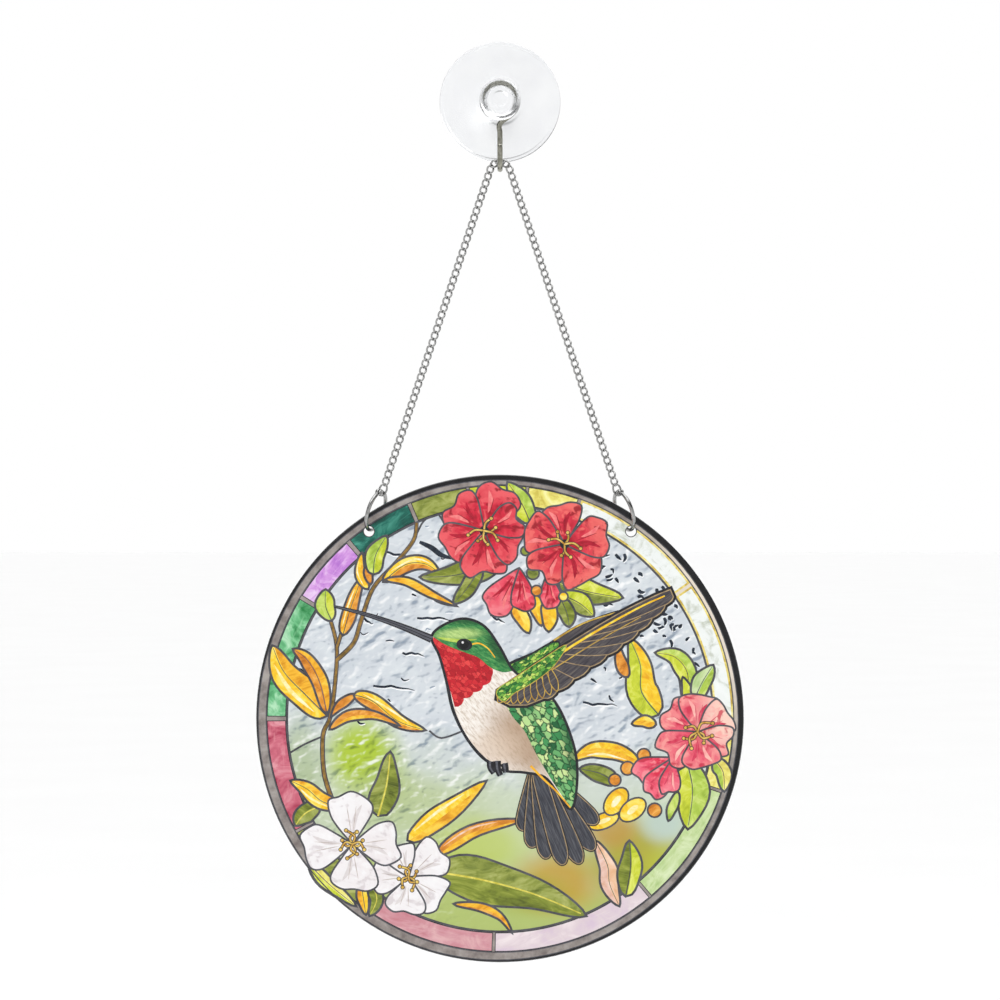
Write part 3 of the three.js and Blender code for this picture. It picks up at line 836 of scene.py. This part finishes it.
def draw_foot():
    """The leaves at the foot of the picture and the white flowers at the lower left"""
    leaf(((39, -50), (44, -60), (45, -68), (49, -77)), 8, "peach", "peach_shade", fullest=0.5)
    leaf(((51.5, -73), (53.5, -61), (53, -50)), 9.5, "olive", "lime", rib_width=0.5)
    leaf(((-26, -63), (-8, -66), (14, -72), (35.5, -81)), 18, "moss", "olive", "rib", 0.9, fullest=0.36)
    leaf(((-19, -76), (-8, -77.5), (0, -81), (5, -88)), 3.6, "gold", "amber", rib=None)
    leaf(((-38, -50), (-24, -40), (-5.5, -25.5)), 9, "yellow", "gold", rib=None, shine="glow")
    leaf(((-26, -56), (-12, -46.5), (9, -41.5)), 6, "amber", "gold", rib=None, shine="peach")
    leaf(((-50, -40), (-46.5, -27), (-45, -13.5)), 11, "moss", "olive", "rib", 0.8, fullest=0.34)
    leaf(((-74, -36), (-80, -39), (-84, -44)), 8, "moss", "olive", "rib", 0.6)
    leaf(((-66, -36), (-73, -34), (-79, -29), (-86, -25.5)), 7.5, "yellow", "gold", shine="glow")
    leaf(((-78, -60), (-70, -68), (-59, -77)), 5.5, "straw", "lime")
    leaf(((-57, -67), (-56, -74), (-55, -80.5)), 5, "yellow", "gold")
    leaf(((-53, -67), (-50.5, -74), (-53.5, -81)), 6, "moss", "olive", "rib", 0.5)
    petals = ((180, 15, 14), (38, 18, 17), (324, 17.5, 17), (262, 16, 17), (110, 14, 13))
    bloom((-37.5, -65), petals, "white", WHITE)
    petals = ((92, 21, 19), (0, 19, 19), (272, 19.5, 20), (184, 21, 19))
    bloom((-60.5, -51.5), petals, "white", WHITE, 0.03)
    stamens((-60.5, -51.5), (20, 70, 115, 160, 205, 250, 295, 335), 6.2, curl=0.7)
    stamens((-37.5, -65), (35, 80, 130, 190, 240, 285, 330), 5.6, curl=0.7)


def draw_tail():
    """Fanned tail feathers, each with its half widths at shares of its length"""
    profile = ((0, 2.2), (0.45, 3.3), (0.85, 3.4), (0.97, 1.9))
    root = Vector((15, -20))
    tips = ((9, -46), (13, -53), (19, -57.5), (26, -60), (33, -59.5), (38.5, -54), (40, -43))
    for x, y in (tips[0], tips[6], tips[1], tips[5], tips[2], tips[4], tips[3]):
        tip = Vector((x, y))
        side = Vector((-(tip - root).y, (tip - root).x)).normalized()
        left, right = ([root.lerp(tip, t) + side * (sign * half) for t, half in profile] for sign in (-1, 1))
        feather = smooth([*left, tip, *right[::-1]], steps=3)
        paint(offset(feather, 0.45), "ink")
        paint(offset(feather, 0.0), "shaft")
        paint(offset(feather, -0.35), "tail_dark")
        paint(strip([root.lerp(tip, 0.3), root.lerp(tip, 0.6), root.lerp(tip, 0.93)], 0.45, 0.2), "lead")


def draw_far_wing():
    blade = smooth([(2, 21), (16, 28), (32, 38), (50, 44), (38, 34), (22, 22), (9, 14)])
    leaded(blade, "wing_dark", 1.0, "ink")
    leaded(smooth([(2, 20.5), (12, 26), (22, 31.5), (24, 29), (15, 20), (8, 14)]), "wing_plumage", 0.8, "ink")
    line(((22, 32), (34, 39), (48, 43.6)), "gilt", 0.8, 0.5)


def scalloped(points, depth):
    """A row of round lobes between the points, bulging to the right of their way"""
    points = [Vector(p) for p in points]
    route = []
    for a, b in zip(points, points[1:]):
        out = Vector((b.y - a.y, a.x - b.x)).normalized() * depth
        for t in (0.04, 0.2, 0.5, 0.8):
            route.append(a.lerp(b, t) + out * math.sin(math.pi * t) ** 0.6)
    return [*route, points[-1]]


def draw_body():
    """The bird's body: pale breast, green back and head, and red gorget"""
    outline = [
        (-27.5, 33.6), (-21.5, 38.6), (-14, 40.4), (-6.5, 37.2), (-0.5, 29), (5, 19.5), (13, 14), (21, 8),
        (26.6, -2), (30.6, -15), (31, -27), (29, -36.5), (24, -30), (18.5, -23.5), (10, -21.6), (1, -20.6),
        (-7, -15.2), (-14, -6.5), (-19, 4), (-21.6, 16), (-24.4, 26),
    ]
    steps = 5
    body = smooth(outline, steps=steps)
    paint(offset(body, 1.1), "ink")
    paint(body, "breast")
    line(((-24.6, 27), (-21.8, 16), (-19.3, 4), (-14.4, -6.9), (-7.4, -15.8), (0, -20.4)), "ink", 1.0, 1.3)
    inner_back = (
        (29, -36.5), (24, -29.5), (18.6, -21), (14, -13), (10, -5), (5, 1), (2, 8), (6, 13), (13, 14)
    )
    back = body[6 * steps : 11 * steps + 1] + curve(inner_back, 4)[1:-1]
    paint(back, "back_plumage")
    line(((12.5, -19.4), (17.8, -24.8), (23.3, -30), (28.9, -36.6)), "gold", 1.0, 0.6)
    throat = curve([(-27.4, 33.4), (-23, 31.6), (-18.5, 29.6), (-13, 27.4), (-8.6, 25.4), (-5, 21.6)], 3)
    lobes = scalloped(((-5, 21.6), (-3.6, 17.4), (-7, 14), (-11, 11.2), (-15, 8.8), (-18.6, 4.8)), -1.5)
    front = body[-10:]
    paint(throat[:-1] + lobes + front, "gorget_plumage")
    inner_head = (
        (5, 19.5), (1, 19), (-4, 21), (-8.6, 24.8), (-13, 26.6), (-18.5, 28.6), (-23, 30.6), (-27.5, 33.6)
    )
    head = body[: 5 * steps + 1] + curve(inner_head, 4)[1:-1]
    paint(head, "head")
    paint(lens((-26, 33.3), (-9.5, 32.4), 1.5, -0.9), "fresh")
    line(((-11.8, 30.4), (-8.5, 30.8), (-5, 28.8), (-2, 25)), "gold", 0.7, 0.4)


def draw_face():
    bill = curve([(-28, 32.6), (-40, 37.6), (-54, 42.4), (-68, 46)])
    paint(strip(bill, 3.4, 1.1), "ink")
    paint(strip(bill, 2.2, 0.5), "bill")
    paint(strip(bill[:-3], 0.35, 0.2), "ink")
    paint(oval((-14.6, 30.3), 6.6, 5.0, -8), "ink")
    paint(circle((-14.6, 30.4), 1.9, 16), "rim")
    paint(circle((-15.3, 31.2), 0.5, 8), "white")


def draw_wing():
    """The near wing: long primaries, a row of short feathers and green coverts over the shoulder"""
    front = curve([(-1, 11.5), (8, 17.5), (18, 24.5), (32, 33.5), (48, 43), (62, 50), (70, 53.3)], 4)
    tips = (
        (71.4, 51.4), (68, 46.8), (62.6, 41.4), (57, 36.2), (50.6, 31), (44, 26.2), (37, 21.4), (30.4, 16.4),
        (23.6, 11.6), (18, 8),
    )
    trailing = scalloped(tips, -1.3)[1:]
    outline = front + trailing + [Vector(p) for p in ((11, 5.2), (4, 5.2), (-1.5, 8))]
    paint(offset(outline, 0.9), "ink")
    paint(offset(outline, -0.1), "shaft")
    paint(offset(outline, -0.55), "wing_dark")
    for i, tip in enumerate(tips[1:-1]):
        start = Vector((12, 15)).lerp(Vector((47, 42)), 0.78 - i * 0.09)
        bend = start.lerp(Vector(tip), 0.5) + Vector((0.9, -0.5))
        line((start, bend, Vector(tip)), "shaft", 0.42, 0.3, steps=3)
    edge = [front[i] + Vector((0.7, -1.8)) for i in (8, 13, 18, 22)]
    line(edge, "yellow", 1.1, 0.6, steps=3)
    line([p + Vector((1.6, -3.4)) for p in edge[:3]], "gilt", 0.5, 0.3, steps=3)
    for i in range(9):
        share = i / 8
        root = Vector((3 + 17 * share, 12 + 9 * share))
        tip = Vector((-0.6 + 24 * share, 6.6 - 2.2 * math.sin(math.pi * share) + 4.8 * share))
        side = Vector((root.y - tip.y, tip.x - root.x)).normalized() * 1.5
        feather = smooth([root, root.lerp(tip, 0.6) + side, tip, root.lerp(tip, 0.6) - side], steps=3)
        paint(offset(feather, 0.35), "gilt")
        paint(feather, "wing_dark")
    shoulder = ((-1.2, 11.6), (8, 17.9), (18, 24.6), (27, 30), (22, 21.6), (14, 15.2), (6, 10.6), (1.5, 7))
    shoulder = smooth(shoulder)
    paint(offset(shoulder, 0.3), "gilt")
    paint(shoulder, "wing_plumage")


def draw_feet():
    """Clenched toes under the breast"""
    for toe in (
        ((-3.9, -17.6), (-3.8, -20.2), (-2.4, -22.4)),
        ((1.7, -18.4), (2.2, -20.6), (2.4, -22.2)),
        ((-1.2, -17.4), (-0.9, -20.8), (0.2, -23.4)),
    ):
        line(toe, "ink", 3.2, 2.4)
        line([Vector(p) + Vector((-0.2, 0.1)) for p in toe], "bill", 1.0, 0.5)


def draw_picture():
    draw_border()
    draw_sky_marks()
    draw_background_leads()
    draw_vine()
    draw_top_flowers()
    draw_right_flowers()
    draw_foot()
    draw_tail()
    draw_far_wing()
    draw_body()
    draw_face()
    draw_wing()
    draw_feet()
    draw_rim()


def hole_centres():
    reach = disc_radius - HOLE_TO_RIM
    angles = [math.radians(90 + side * HOLE_ANGLE) for side in (1, -1)]
    return [Vector((math.cos(a), math.sin(a))) * reach for a in angles]


def wound_round(outline, x, y):
    """How many times the outline runs anticlockwise round a point"""
    turns = 0
    before = outline[-1]
    for here in outline:
        if (before.y > y) != (here.y > y):
            crossing = before.x + (y - before.y) / (here.y - before.y) * (here.x - before.x)
            if crossing > x:
                turns += 1 if here.y > before.y else -1
        before = here
    return turns


def divide_face():
    """Points and triangles of the disc's face, each triangle with the material that lies on top there"""
    holes = [circle(centre, hole_radius + DISC_BEVEL, HOLE_SIDES) for centre in hole_centres()]
    layers = [*regions, *((hole, None) for hole in holes)]
    points, edges, boxes = [], [], []
    for outline, _ in layers:
        first, count = len(points), len(outline)
        points += outline
        edges += [(first + i, first + (i + 1) % count) for i in range(count)]
        xs, ys = [p.x for p in outline], [p.y for p in outline]
        boxes.append((min(xs), max(xs), min(ys), max(ys)))
    points, _, triangles, _, _, _ = delaunay_2d_cdt(points, edges, [], 0, 1e-5)
    kept, materials = [], []
    for triangle in triangles:
        x, y = sum((points[i] for i in triangle), Vector((0, 0))) / 3
        for (outline, material), (left, right, low, high) in zip(layers[::-1], boxes[::-1]):
            if left < x < right and low < y < high and wound_round(outline, x, y) > 0:
                if material:
                    kept.append(triangle)
                    materials.append(material)
                break
    return points, kept, materials


def outer_edges(triangles):
    """Directed edges that belong to one triangle only"""
    edges = {}
    for a, b, c in triangles:
        for edge in ((a, b), (b, c), (c, a)):
            edges[edge] = True
    return [(a, b) for a, b in edges if (b, a) not in edges]


def printed_disc(palette):
    """The disc: its divided face in front and behind, and its rim and hole walls with small bevels"""
    points, triangles, materials = divide_face()
    used = sorted({i for triangle in triangles for i in triangle})
    index = {old: new for new, old in enumerate(used)}
    points = [Vector(points[i]) for i in used]
    triangles = [tuple(index[i] for i in triangle) for triangle in triangles]
    holes = hole_centres()

    def outwards(point):
        for hole in holes:
            if (point - hole).length < 2 * hole_radius:
                return (hole - point).normalized()
        return point.normalized()

    half = disc_thickness / 2
    names = list(palette)
    slot_of = {name: i for i, name in enumerate(names)}
    count = len(points)
    verts = [disc_centre + Vector((p.x, -half, p.y)) * MM for p in points]
    verts += [disc_centre + Vector((p.x, half, p.y)) * MM for p in points]
    faces = [tuple(t) for t in triangles] + [tuple(i + count for i in t[::-1]) for t in triangles]
    slots = [slot_of[m] for m in materials] * 2
    edges = outer_edges(triangles)
    rims = {}
    for a, b in edges:
        rims.setdefault(a, len(rims))
        rims.setdefault(b, len(rims))
    first = len(verts)
    for depth in (-half + DISC_BEVEL, half - DISC_BEVEL):
        for i in rims:
            place = points[i] + outwards(points[i]) * DISC_BEVEL
            verts.append(disc_centre + Vector((place.x, depth, place.y)) * MM)
    face_count = len(faces)
    for a, b in edges:
        layers = (
            (a, b),
            (first + rims[a], first + rims[b]),
            (first + len(rims) + rims[a], first + len(rims) + rims[b]),
            (count + a, count + b),
        )
        for (a0, b0), (a1, b1) in zip(layers, layers[1:]):
            faces.append((b0, a0, a1, b1))
            slots.append(slot_of["edge"])
    mesh = bpy.data.meshes.new("printed_disc")
    mesh.from_pydata(verts, [], faces)
    for name in names:
        mesh.materials.append(palette[name])
    mesh.polygons.foreach_set("material_index", slots)
    mesh.polygons.foreach_set("use_smooth", [i >= face_count for i in range(len(faces))])
    return place_piece("printed_disc", mesh, ["acrylic_disc"])


def place_piece(name, mesh, replaced):
    mesh.validate()
    piece = bpy.data.objects.new(name, mesh)
    bpy.context.scene.collection.objects.link(piece)
    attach(piece, "root")
    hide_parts(*replaced)
    return piece


def skin(rings, closed=False):
    """Vertices and faces over rings of points, in a loop or with a flat face at each end"""
    sides = len(rings[0])
    verts = [point for ring in rings for point in ring]
    faces = []
    for i in range(len(rings) if closed else len(rings) - 1):
        here, there = i * sides, (i + 1) % len(rings) * sides
        for j in range(sides):
            k = (j + 1) % sides
            faces.append((here + j, here + k, there + k, there + j))
    if not closed:
        faces.append(tuple(range(sides))[::-1])
        faces.append(tuple(range(len(verts) - sides, len(verts))))
    return verts, faces


def tube(points, radius, sides, closed=False, flat=None):
    """Vertices and faces of a round wire along a route, closed in a loop or with domed ends"""
    count = len(points)
    sizes = radius if isinstance(radius, list) else [(radius, radius)] * count
    tangents = []
    for i in range(count):
        before = points[i - 1] if closed or i else points[i]
        after = points[(i + 1) % count] if closed or i < count - 1 else points[i]
        tangents.append((after - before).normalized())
    side = tangents[0].orthogonal().normalized() if flat is None else flat.normalized()
    rings = []
    for point, tangent, size in zip(points, tangents, sizes):
        side = (side - tangent * side.dot(tangent)).normalized()
        rings.append((point, side * size[0], tangent.cross(side) * size[1]))
    if not closed:
        for end, sign in ((0, -1), (-1, 1)):
            point, across, up = rings[end]
            cap = []
            for step in range(1, DOME_STEPS + 1):
                angle = math.pi / 2 * step / (DOME_STEPS + 0.3)
                reach = tangents[end] * (sign * up.length * math.sin(angle))
                cap.append((point + reach, across * math.cos(angle), up * math.cos(angle)))
            rings = rings + cap if sign > 0 else cap[::-1] + rings
    spin = [(math.cos(angle), math.sin(angle)) for angle in angles_round(sides)]
    return skin([[point + across * c + up * s for c, s in spin] for point, across, up in rings], closed)


def joined(name, parts, material):
    verts, faces = [], []
    for part_verts, part_faces in parts:
        first = len(verts)
        verts += [v * MM for v in part_verts]
        faces += [tuple(i + first for i in face) for face in part_faces]
    mesh = bpy.data.meshes.new(name)
    mesh.from_pydata(verts, [], faces)
    mesh.materials.append(material)
    mesh.polygons.foreach_set("use_smooth", [len(face) < 5 for face in faces])
    return mesh


# Where the hook, the chain and the rings hang, in millimetres
ring_radius = (RING_DIAMETER - RING_WIRE) / 2
neck_radius = NECK_RADIUS + EYE_WIDENING
eye_radius = neck_radius + TOUCH_GAP + HOOK_WIRE / 2
eye_depth = HUB_HEIGHT + TOUCH_GAP + HOOK_WIRE / 2
head_start = eye_depth + HOOK_WIRE / 2 + TOUCH_GAP
hook_bend_radius = (HOOK_THROAT + HOOK_WIRE) / 2
hanging_depth = eye_depth + hook_bend_radius
hook_bottom = HOOK_WIRE / 2 - HOOK_DROP
top_link_height = hook_bottom + HOOK_WIRE / 2 + TOUCH_GAP + CHAIN_WIDTH / 2
link_length = CHAIN_PITCH + 2 * CHAIN_WIRE - LINK_BITE
half_through = disc_thickness / 2 / math.cos(RING_YAW)
wire_sag = ring_radius - math.sqrt(ring_radius**2 - half_through**2)
wire_above_hole = math.sqrt((wire_shift + HOLE_PLAY - TOUCH_GAP) ** 2 - wire_shift**2) - wire_sag
joint_to_ring_top = END_LINK_LENGTH - (5 * CHAIN_WIRE - LINK_BITE) / 2 + CHAIN_WIRE / 2
joint_to_ring_top -= TOUCH_GAP + RING_WIRE / 2
joint_to_hole = joint_to_ring_top + 2 * ring_radius + wire_above_hole


def way_down(side, slope):
    return Vector((side * math.cos(slope), 0, -math.sin(slope)))


def leg_joints(side, slope):
    """The joints down a leg of chain, each halfway between the end wires of two links"""
    first_bend = min(LINK_BEND, slope)
    joint = Vector((side * (link_length - CHAIN_WIRE) / 2, -hanging_depth, top_link_height))
    joint -= way_down(side, first_bend / 2) * (CHAIN_WIRE + TOUCH_GAP)
    joint += way_down(side, first_bend) * ((CHAIN_WIRE - LINK_BITE) / 2)
    joints = [joint]
    for i in range(1, LINKS_PER_LEG + 1):
        joints.append(joints[-1] + way_down(side, min(i * LINK_BEND, slope)) * CHAIN_PITCH)
    return joints


def find_leg_slope():
    """The slope at which a leg's end meets its hanging hole, found by halving"""
    target = (disc_radius - HOLE_TO_RIM) * math.sin(math.radians(HOLE_ANGLE))
    low, high = 0.0, math.pi / 2
    for _ in range(40):
        middle = (low + high) / 2
        if leg_joints(1, middle)[-1].x + joint_to_hole * math.cos(middle) > target:
            low = middle
        else:
            high = middle
    return low


leg_slope = find_leg_slope()


def leg_axes(side, slope):
    """Axes of a piece that runs down a leg: down it, to the window, and across it"""
    way = way_down(side, slope)
    deep = Vector((0, 1, 0))
    return Matrix((way, deep, way.cross(deep))).transposed()


def oval_link(place, axes, length, width, twist, turn=0.0):
    """A link of round wire along the first axis, with its ends twisted opposite ways about it"""
    along, across = (length - CHAIN_WIRE) / 2, (width - CHAIN_WIRE) / 2
    route = []
    for angle in angles_round(LINK_STEPS):
        point = Vector((along * math.cos(angle), 0, across * math.sin(angle)))
        spin = Matrix.Rotation(twist * math.cos(angle) + turn, 3, "X")
        route.append(place + axes @ (spin @ point))
    return tube(route, CHAIN_WIRE / 2, sides=10, closed=True)


def curb_chain(material):
    top = Vector((0, -hanging_depth, top_link_height))
    links = [oval_link(top, leg_axes(1, 0), link_length, CHAIN_WIDTH, LINK_TWIST)]
    for side in (-1, 1):
        joints = leg_joints(side, leg_slope)
        for i, (above, below) in enumerate(zip(joints, joints[1:])):
            axes = leg_axes(side, min((i + 1) * LINK_BEND, leg_slope))
            links.append(oval_link((above + below) / 2, axes, link_length, CHAIN_WIDTH, LINK_TWIST))
        reach = (END_LINK_LENGTH - 2 * CHAIN_WIRE + LINK_BITE) / 2
        end = joints[-1] + way_down(side, leg_slope) * reach
        axes = leg_axes(side, leg_slope)
        links.append(oval_link(end, axes, END_LINK_LENGTH, END_LINK_WIDTH, 0.0, side * RING_YAW))
    mesh = joined("curb_chain", links, material)
    place_piece("curb_chain", mesh, ["chain_left", "chain_top_link", "chain_right"])


def lathe(profile, axes, place, sides):
    """A turned form about the first of its axes. The profile gives radii and heights along it."""
    spin = [(math.cos(angle), math.sin(angle)) for angle in angles_round(sides)]
    return skin([[place + axes @ Vector((height, radius * c, radius * s)) for c, s in spin]
                 for radius, height in profile])


def rounded_disc(radius, low, high, bevel, steps=3):
    """Profile of a flat disc with rounded edges, from the middle of its low face to that of its high one"""
    profile = [(0.001, low)]
    for centre, start in ((low + bevel, -90), (high - bevel, 0)):
        for step in range(steps + 1):
            angle = math.radians(start + 90 * step / steps)
            profile.append((radius - bevel + bevel * math.cos(angle), centre + bevel * math.sin(angle)))
    return profile + [(0.001, high)]


def ring_half(start, end, hinge_first, knuckle_side):
    """The wire of one half in the ring's own axes, flattened where it runs into its hinge knuckle"""
    lap = TOUCH_GAP / 2
    flat_half = (KNUCKLE_THICKNESS / 2 - lap) / 2
    flat_place = knuckle_side * (lap + flat_half)
    route, sizes = [], []
    for i in range(RING_STEPS + 1):
        t = i / RING_STEPS
        angle = start + (end - start) * t
        from_hinge = (t if hinge_first else 1 - t) * abs(end - start) * ring_radius
        flat = 1 - min(1, max(0, (from_hinge - 1.0) / 1.6))
        flat = flat * flat * (3 - 2 * flat)
        x, z = math.cos(angle) * ring_radius, math.sin(angle) * ring_radius
        route.append(Vector((x, flat_place * flat, z)))
        sizes.append((RING_WIRE / 2, RING_WIRE / 2 * (1 - flat) + flat_half * flat))
    return route, sizes


def ring_clasps(material):
    hinge_x = -(CHAIN_WIRE / 2 + 3 * TOUCH_GAP + KNUCKLE_RADIUS)
    clasp_x = -(half_through + CLASP_FROM_DISC)
    hinge_angle = math.acos(hinge_x / ring_radius)
    clasp_angle = 2 * math.pi - math.acos(clasp_x / ring_radius)
    clasp_gap = TOUCH_GAP / ring_radius
    hinge = Vector((math.cos(hinge_angle), 0, math.sin(hinge_angle))) * ring_radius
    half = KNUCKLE_THICKNESS / 2
    lap = TOUCH_GAP / 2
    head = half + TOUCH_GAP
    hinge_axes = Matrix(((0, 1, 0), (1, 0, 0), (0, 0, -1))).transposed()
    rivet_head = [(0.001, head), (RIVET_HEAD_RADIUS - 0.1, head)]
    for share, rise in ((1, 0.12), (0.8, 0.3), (0.45, 0.39)):
        rivet_head.append((RIVET_HEAD_RADIUS * share, head + rise))
    rivet_head.append((0.001, head + 0.42))
    knuckle = rounded_disc(KNUCKLE_RADIUS, -half, -lap, 0.2)
    rivet = rounded_disc(RIVET_RADIUS, -half, head + 0.2, 0.1)
    halves = {
        "body": (ring_half(clasp_angle - 2 * math.pi, hinge_angle, False, -1), [knuckle, rivet, rivet_head]),
        "gate": (
            ring_half(hinge_angle, clasp_angle - clasp_gap, True, 1),
            [rounded_disc(KNUCKLE_RADIUS, lap, half, 0.2)],
        ),
    }
    for side, word in ((-1, "left"), (1, "right")):
        up = -way_down(side, leg_slope)
        across = up.cross(Vector((0, 1, 0)))
        to_window = Vector((0, math.cos(RING_YAW), 0)) + across * (side * math.sin(RING_YAW))
        axes = Matrix((to_window, up.cross(to_window), up)).transposed()
        centre = leg_joints(side, leg_slope)[-1] - up * (joint_to_ring_top + ring_radius)
        for part, ((route, sizes), profiles) in halves.items():
            pieces = [tube(route, sizes, sides=24, flat=Vector((1, 0, 0)))]
            pieces += [lathe(profile, hinge_axes, hinge, 32) for profile in profiles]
            pieces = [([centre + axes @ v for v in verts], faces) for verts, faces in pieces]
            name = f"ring_clasp_{word}_{part}"
            place_piece(name, joined(name, pieces, material), [f"ring_{word}_{part}"])


def wire_hook(material):
    """One wire: round the cup's neck, down the shank, and up again at the tip"""
    route = []
    for i in range(EYE_STEPS + 1):
        angle = math.radians(EYE_START + (EYE_END - EYE_START) * i / EYE_STEPS)
        route.append(Vector((eye_radius * math.cos(angle), -eye_depth, eye_radius * math.sin(angle))))
    bend_centre = hook_bottom + hook_bend_radius
    shank_top = -eye_radius - HOOK_WIRE
    for i in range(SHANK_STEPS):
        height = shank_top + (bend_centre - shank_top) * i / SHANK_STEPS
        route.append(Vector((0, -eye_depth, height)))
    for i in range(BEND_STEPS + 1):
        turn = (math.pi - HOOK_TIP_LEAN) * i / BEND_STEPS
        depth = hanging_depth - hook_bend_radius * math.cos(turn)
        route.append(Vector((0, -depth, bend_centre - hook_bend_radius * math.sin(turn))))
    tip_height = HOOK_TIP_RISE - HOOK_DROP - HOOK_WIRE / 4
    length = (tip_height - route[-1].z) / math.cos(HOOK_TIP_LEAN)
    route.append(route[-1] + Vector((0, -math.sin(HOOK_TIP_LEAN), math.cos(HOOK_TIP_LEAN))) * length)
    wire = tube(curve(route, 6), HOOK_WIRE / 2, sides=24)
    place_piece("wire_hook", joined("wire_hook", [wire], material), ["hook"])


def suction_cup(material):
    """The cup, turned about the line from the pane to the middle of its head"""
    head_end = head_start + HEAD_HEIGHT
    profile = [(0.001, 0.0)]
    for i in range(7):
        angle = math.pi * (i / 6 - 0.5)
        radius = CUP_RADIUS + CUP_EDGE * (math.cos(angle) - 1) / 2
        profile.append((radius, CUP_EDGE * (1 + math.sin(angle)) / 2))
    for radius, rise in ((CUP_RADIUS - 1.2, -0.15), (CUP_RADIUS - 1.5, 0.1), (LIP_RADIUS, 0.15)):
        profile.append((radius, CUP_EDGE + rise))
    for i in range(1, 13):
        share = i / 12
        profile.append((
            LIP_RADIUS + (HUB_RADIUS - LIP_RADIUS) * share,
            CUP_EDGE + 0.15 + (HUB_HEIGHT - 0.55 - CUP_EDGE) * share**1.6,
        ))
    profile += [
        (HUB_RADIUS - 0.5, HUB_HEIGHT), (neck_radius + 0.6, HUB_HEIGHT), (neck_radius, HUB_HEIGHT + 0.5),
        (neck_radius, head_start - 0.4), (neck_radius + 0.5, head_start), (HEAD_RADIUS - 1.1, head_start),
        (HEAD_RADIUS - 0.3, head_start + 0.4),
    ]
    for i in range(9):
        angle = math.pi / 2 * i / 8
        profile.append((
            HEAD_RADIUS + HEAD_ROUNDING * (math.cos(angle) - 1),
            head_end + (HEAD_HEIGHT - 1.2) * (math.sin(angle) - 1),
        ))
    for radius, sunk in (
        (5.5, 0.0), (5.0, 0.35), (4.5, 0.4), (4.0, 0.15), (3.5, 0.15), (3.1, 0.5), (2.2, 0.8), (1.7, 0.65),
        (1.0, DIMPLE_DEPTH), (0.001, DIMPLE_DEPTH),
    ):
        profile.append((radius, head_end - sunk))
    axes = Matrix(((0, -1, 0), (1, 0, 0), (0, 0, 1))).transposed()
    cup = lathe(profile, axes, Vector((0, 0, 0)), 128)
    mesh = joined("clear_suction_cup", [cup], material)
    place_piece("clear_suction_cup", mesh, ["suction_cup"])


def studio():
    """A pale floor far below, pale walls, a darker zone above them and a bright ceiling, and soft lamps"""
    low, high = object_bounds()
    middle = (Vector(low) + Vector(high)) / 2
    world = bpy.data.worlds.new("studio")
    bpy.context.scene.world = world
    world.use_nodes = True
    room = Nodes(world.node_tree)
    direction = room.node("ShaderNodeTexCoord").outputs["Generated"]
    _, deep, up = room.node("ShaderNodeSeparateXYZ", {0: direction}).outputs
    walls = room.ramp(room.step(up, 0.28, -0.02), ((0.0, ROOM_ROUND), (1.0, ROOM_BEHIND)))
    walls = room.mix(room.step(deep, 0.86, 0.94), walls, (*(ROOM_BEHIND,) * 3, 1))
    walls = room.mix(room.step(up, 0.26, 0.36), walls, (*(ROOM_UPPER,) * 3, 1))
    tone = room.mix(room.step(up, 0.62, 0.76), walls, (*(ROOM_CEILING,) * 3, 1))
    background = room.tree.nodes["Background"]
    room.tree.links.new(tone, background.inputs["Color"])

    floor = bpy.data.meshes.new("floor")
    signs = ((-1, -1), (1, -1), (1, 1), (-1, 1))
    corners = [(x * FLOOR_REACH, y * FLOOR_REACH, low[2] - FLOOR_DROP) for x, y in signs]
    floor.from_pydata(corners, [], [(0, 1, 2, 3)])
    graph = Graph("floor", roughness=0.7)
    tone = graph.noise(graph.coordinates, scale=3, detail=3)
    floor.materials.append(graph.finish(graph.ramp(tone, [(0.3, "fcfcfc"), (0.7, "fefefe")])))
    floor = bpy.data.objects.new("floor", floor)
    bpy.context.scene.collection.objects.link(floor)
    floor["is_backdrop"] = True

    for name, place, size, power in (
        ("softbox", (-0.3, -0.5, 1.5), 1.7, 8.0),
        ("key", (-1.0, -1.1, 0.9), 0.6, 2.6),
        ("back", (0.5, 1.2, 0.9), 0.8, 6),
    ):
        data = bpy.data.lights.new(name, "AREA")
        data.size = size
        data.energy = power
        lamp = bpy.data.objects.new(name, data)
        lamp.location = middle + Vector(place)
        lamp.rotation_euler = (middle - lamp.location).to_track_quat("-Z", "Y").to_euler()
        bpy.context.scene.collection.objects.link(lamp)

    data = bpy.data.cameras.new("camera")
    data.lens = CAMERA_LENS
    data.sensor_width = SENSOR_WIDTH
    camera = bpy.data.objects.new("camera", data)
    height = (high[2] - low[2]) / OBJECT_SHARE
    camera.location = Vector((middle.x, low[1] - height * CAMERA_LENS / SENSOR_WIDTH, middle.z))
    camera.rotation_euler = (math.pi / 2, 0, 0)
    bpy.context.scene.collection.objects.link(camera)
    bpy.context.scene.camera = camera
    bpy.context.scene.view_settings.view_transform = "Standard"


palette = make_palette()
draw_picture()
printed_disc(palette)
curb_chain(nickel("chain_nickel", "b4b4b3", "838382", 0.2))
ring_clasps(nickel("ring_nickel", "a6a6a5", "828281", 0.12))
wire_hook(nickel("hook_nickel", "9d9c91", "6d6c62", 0.14))
suction_cup(clear_vinyl())
studio()
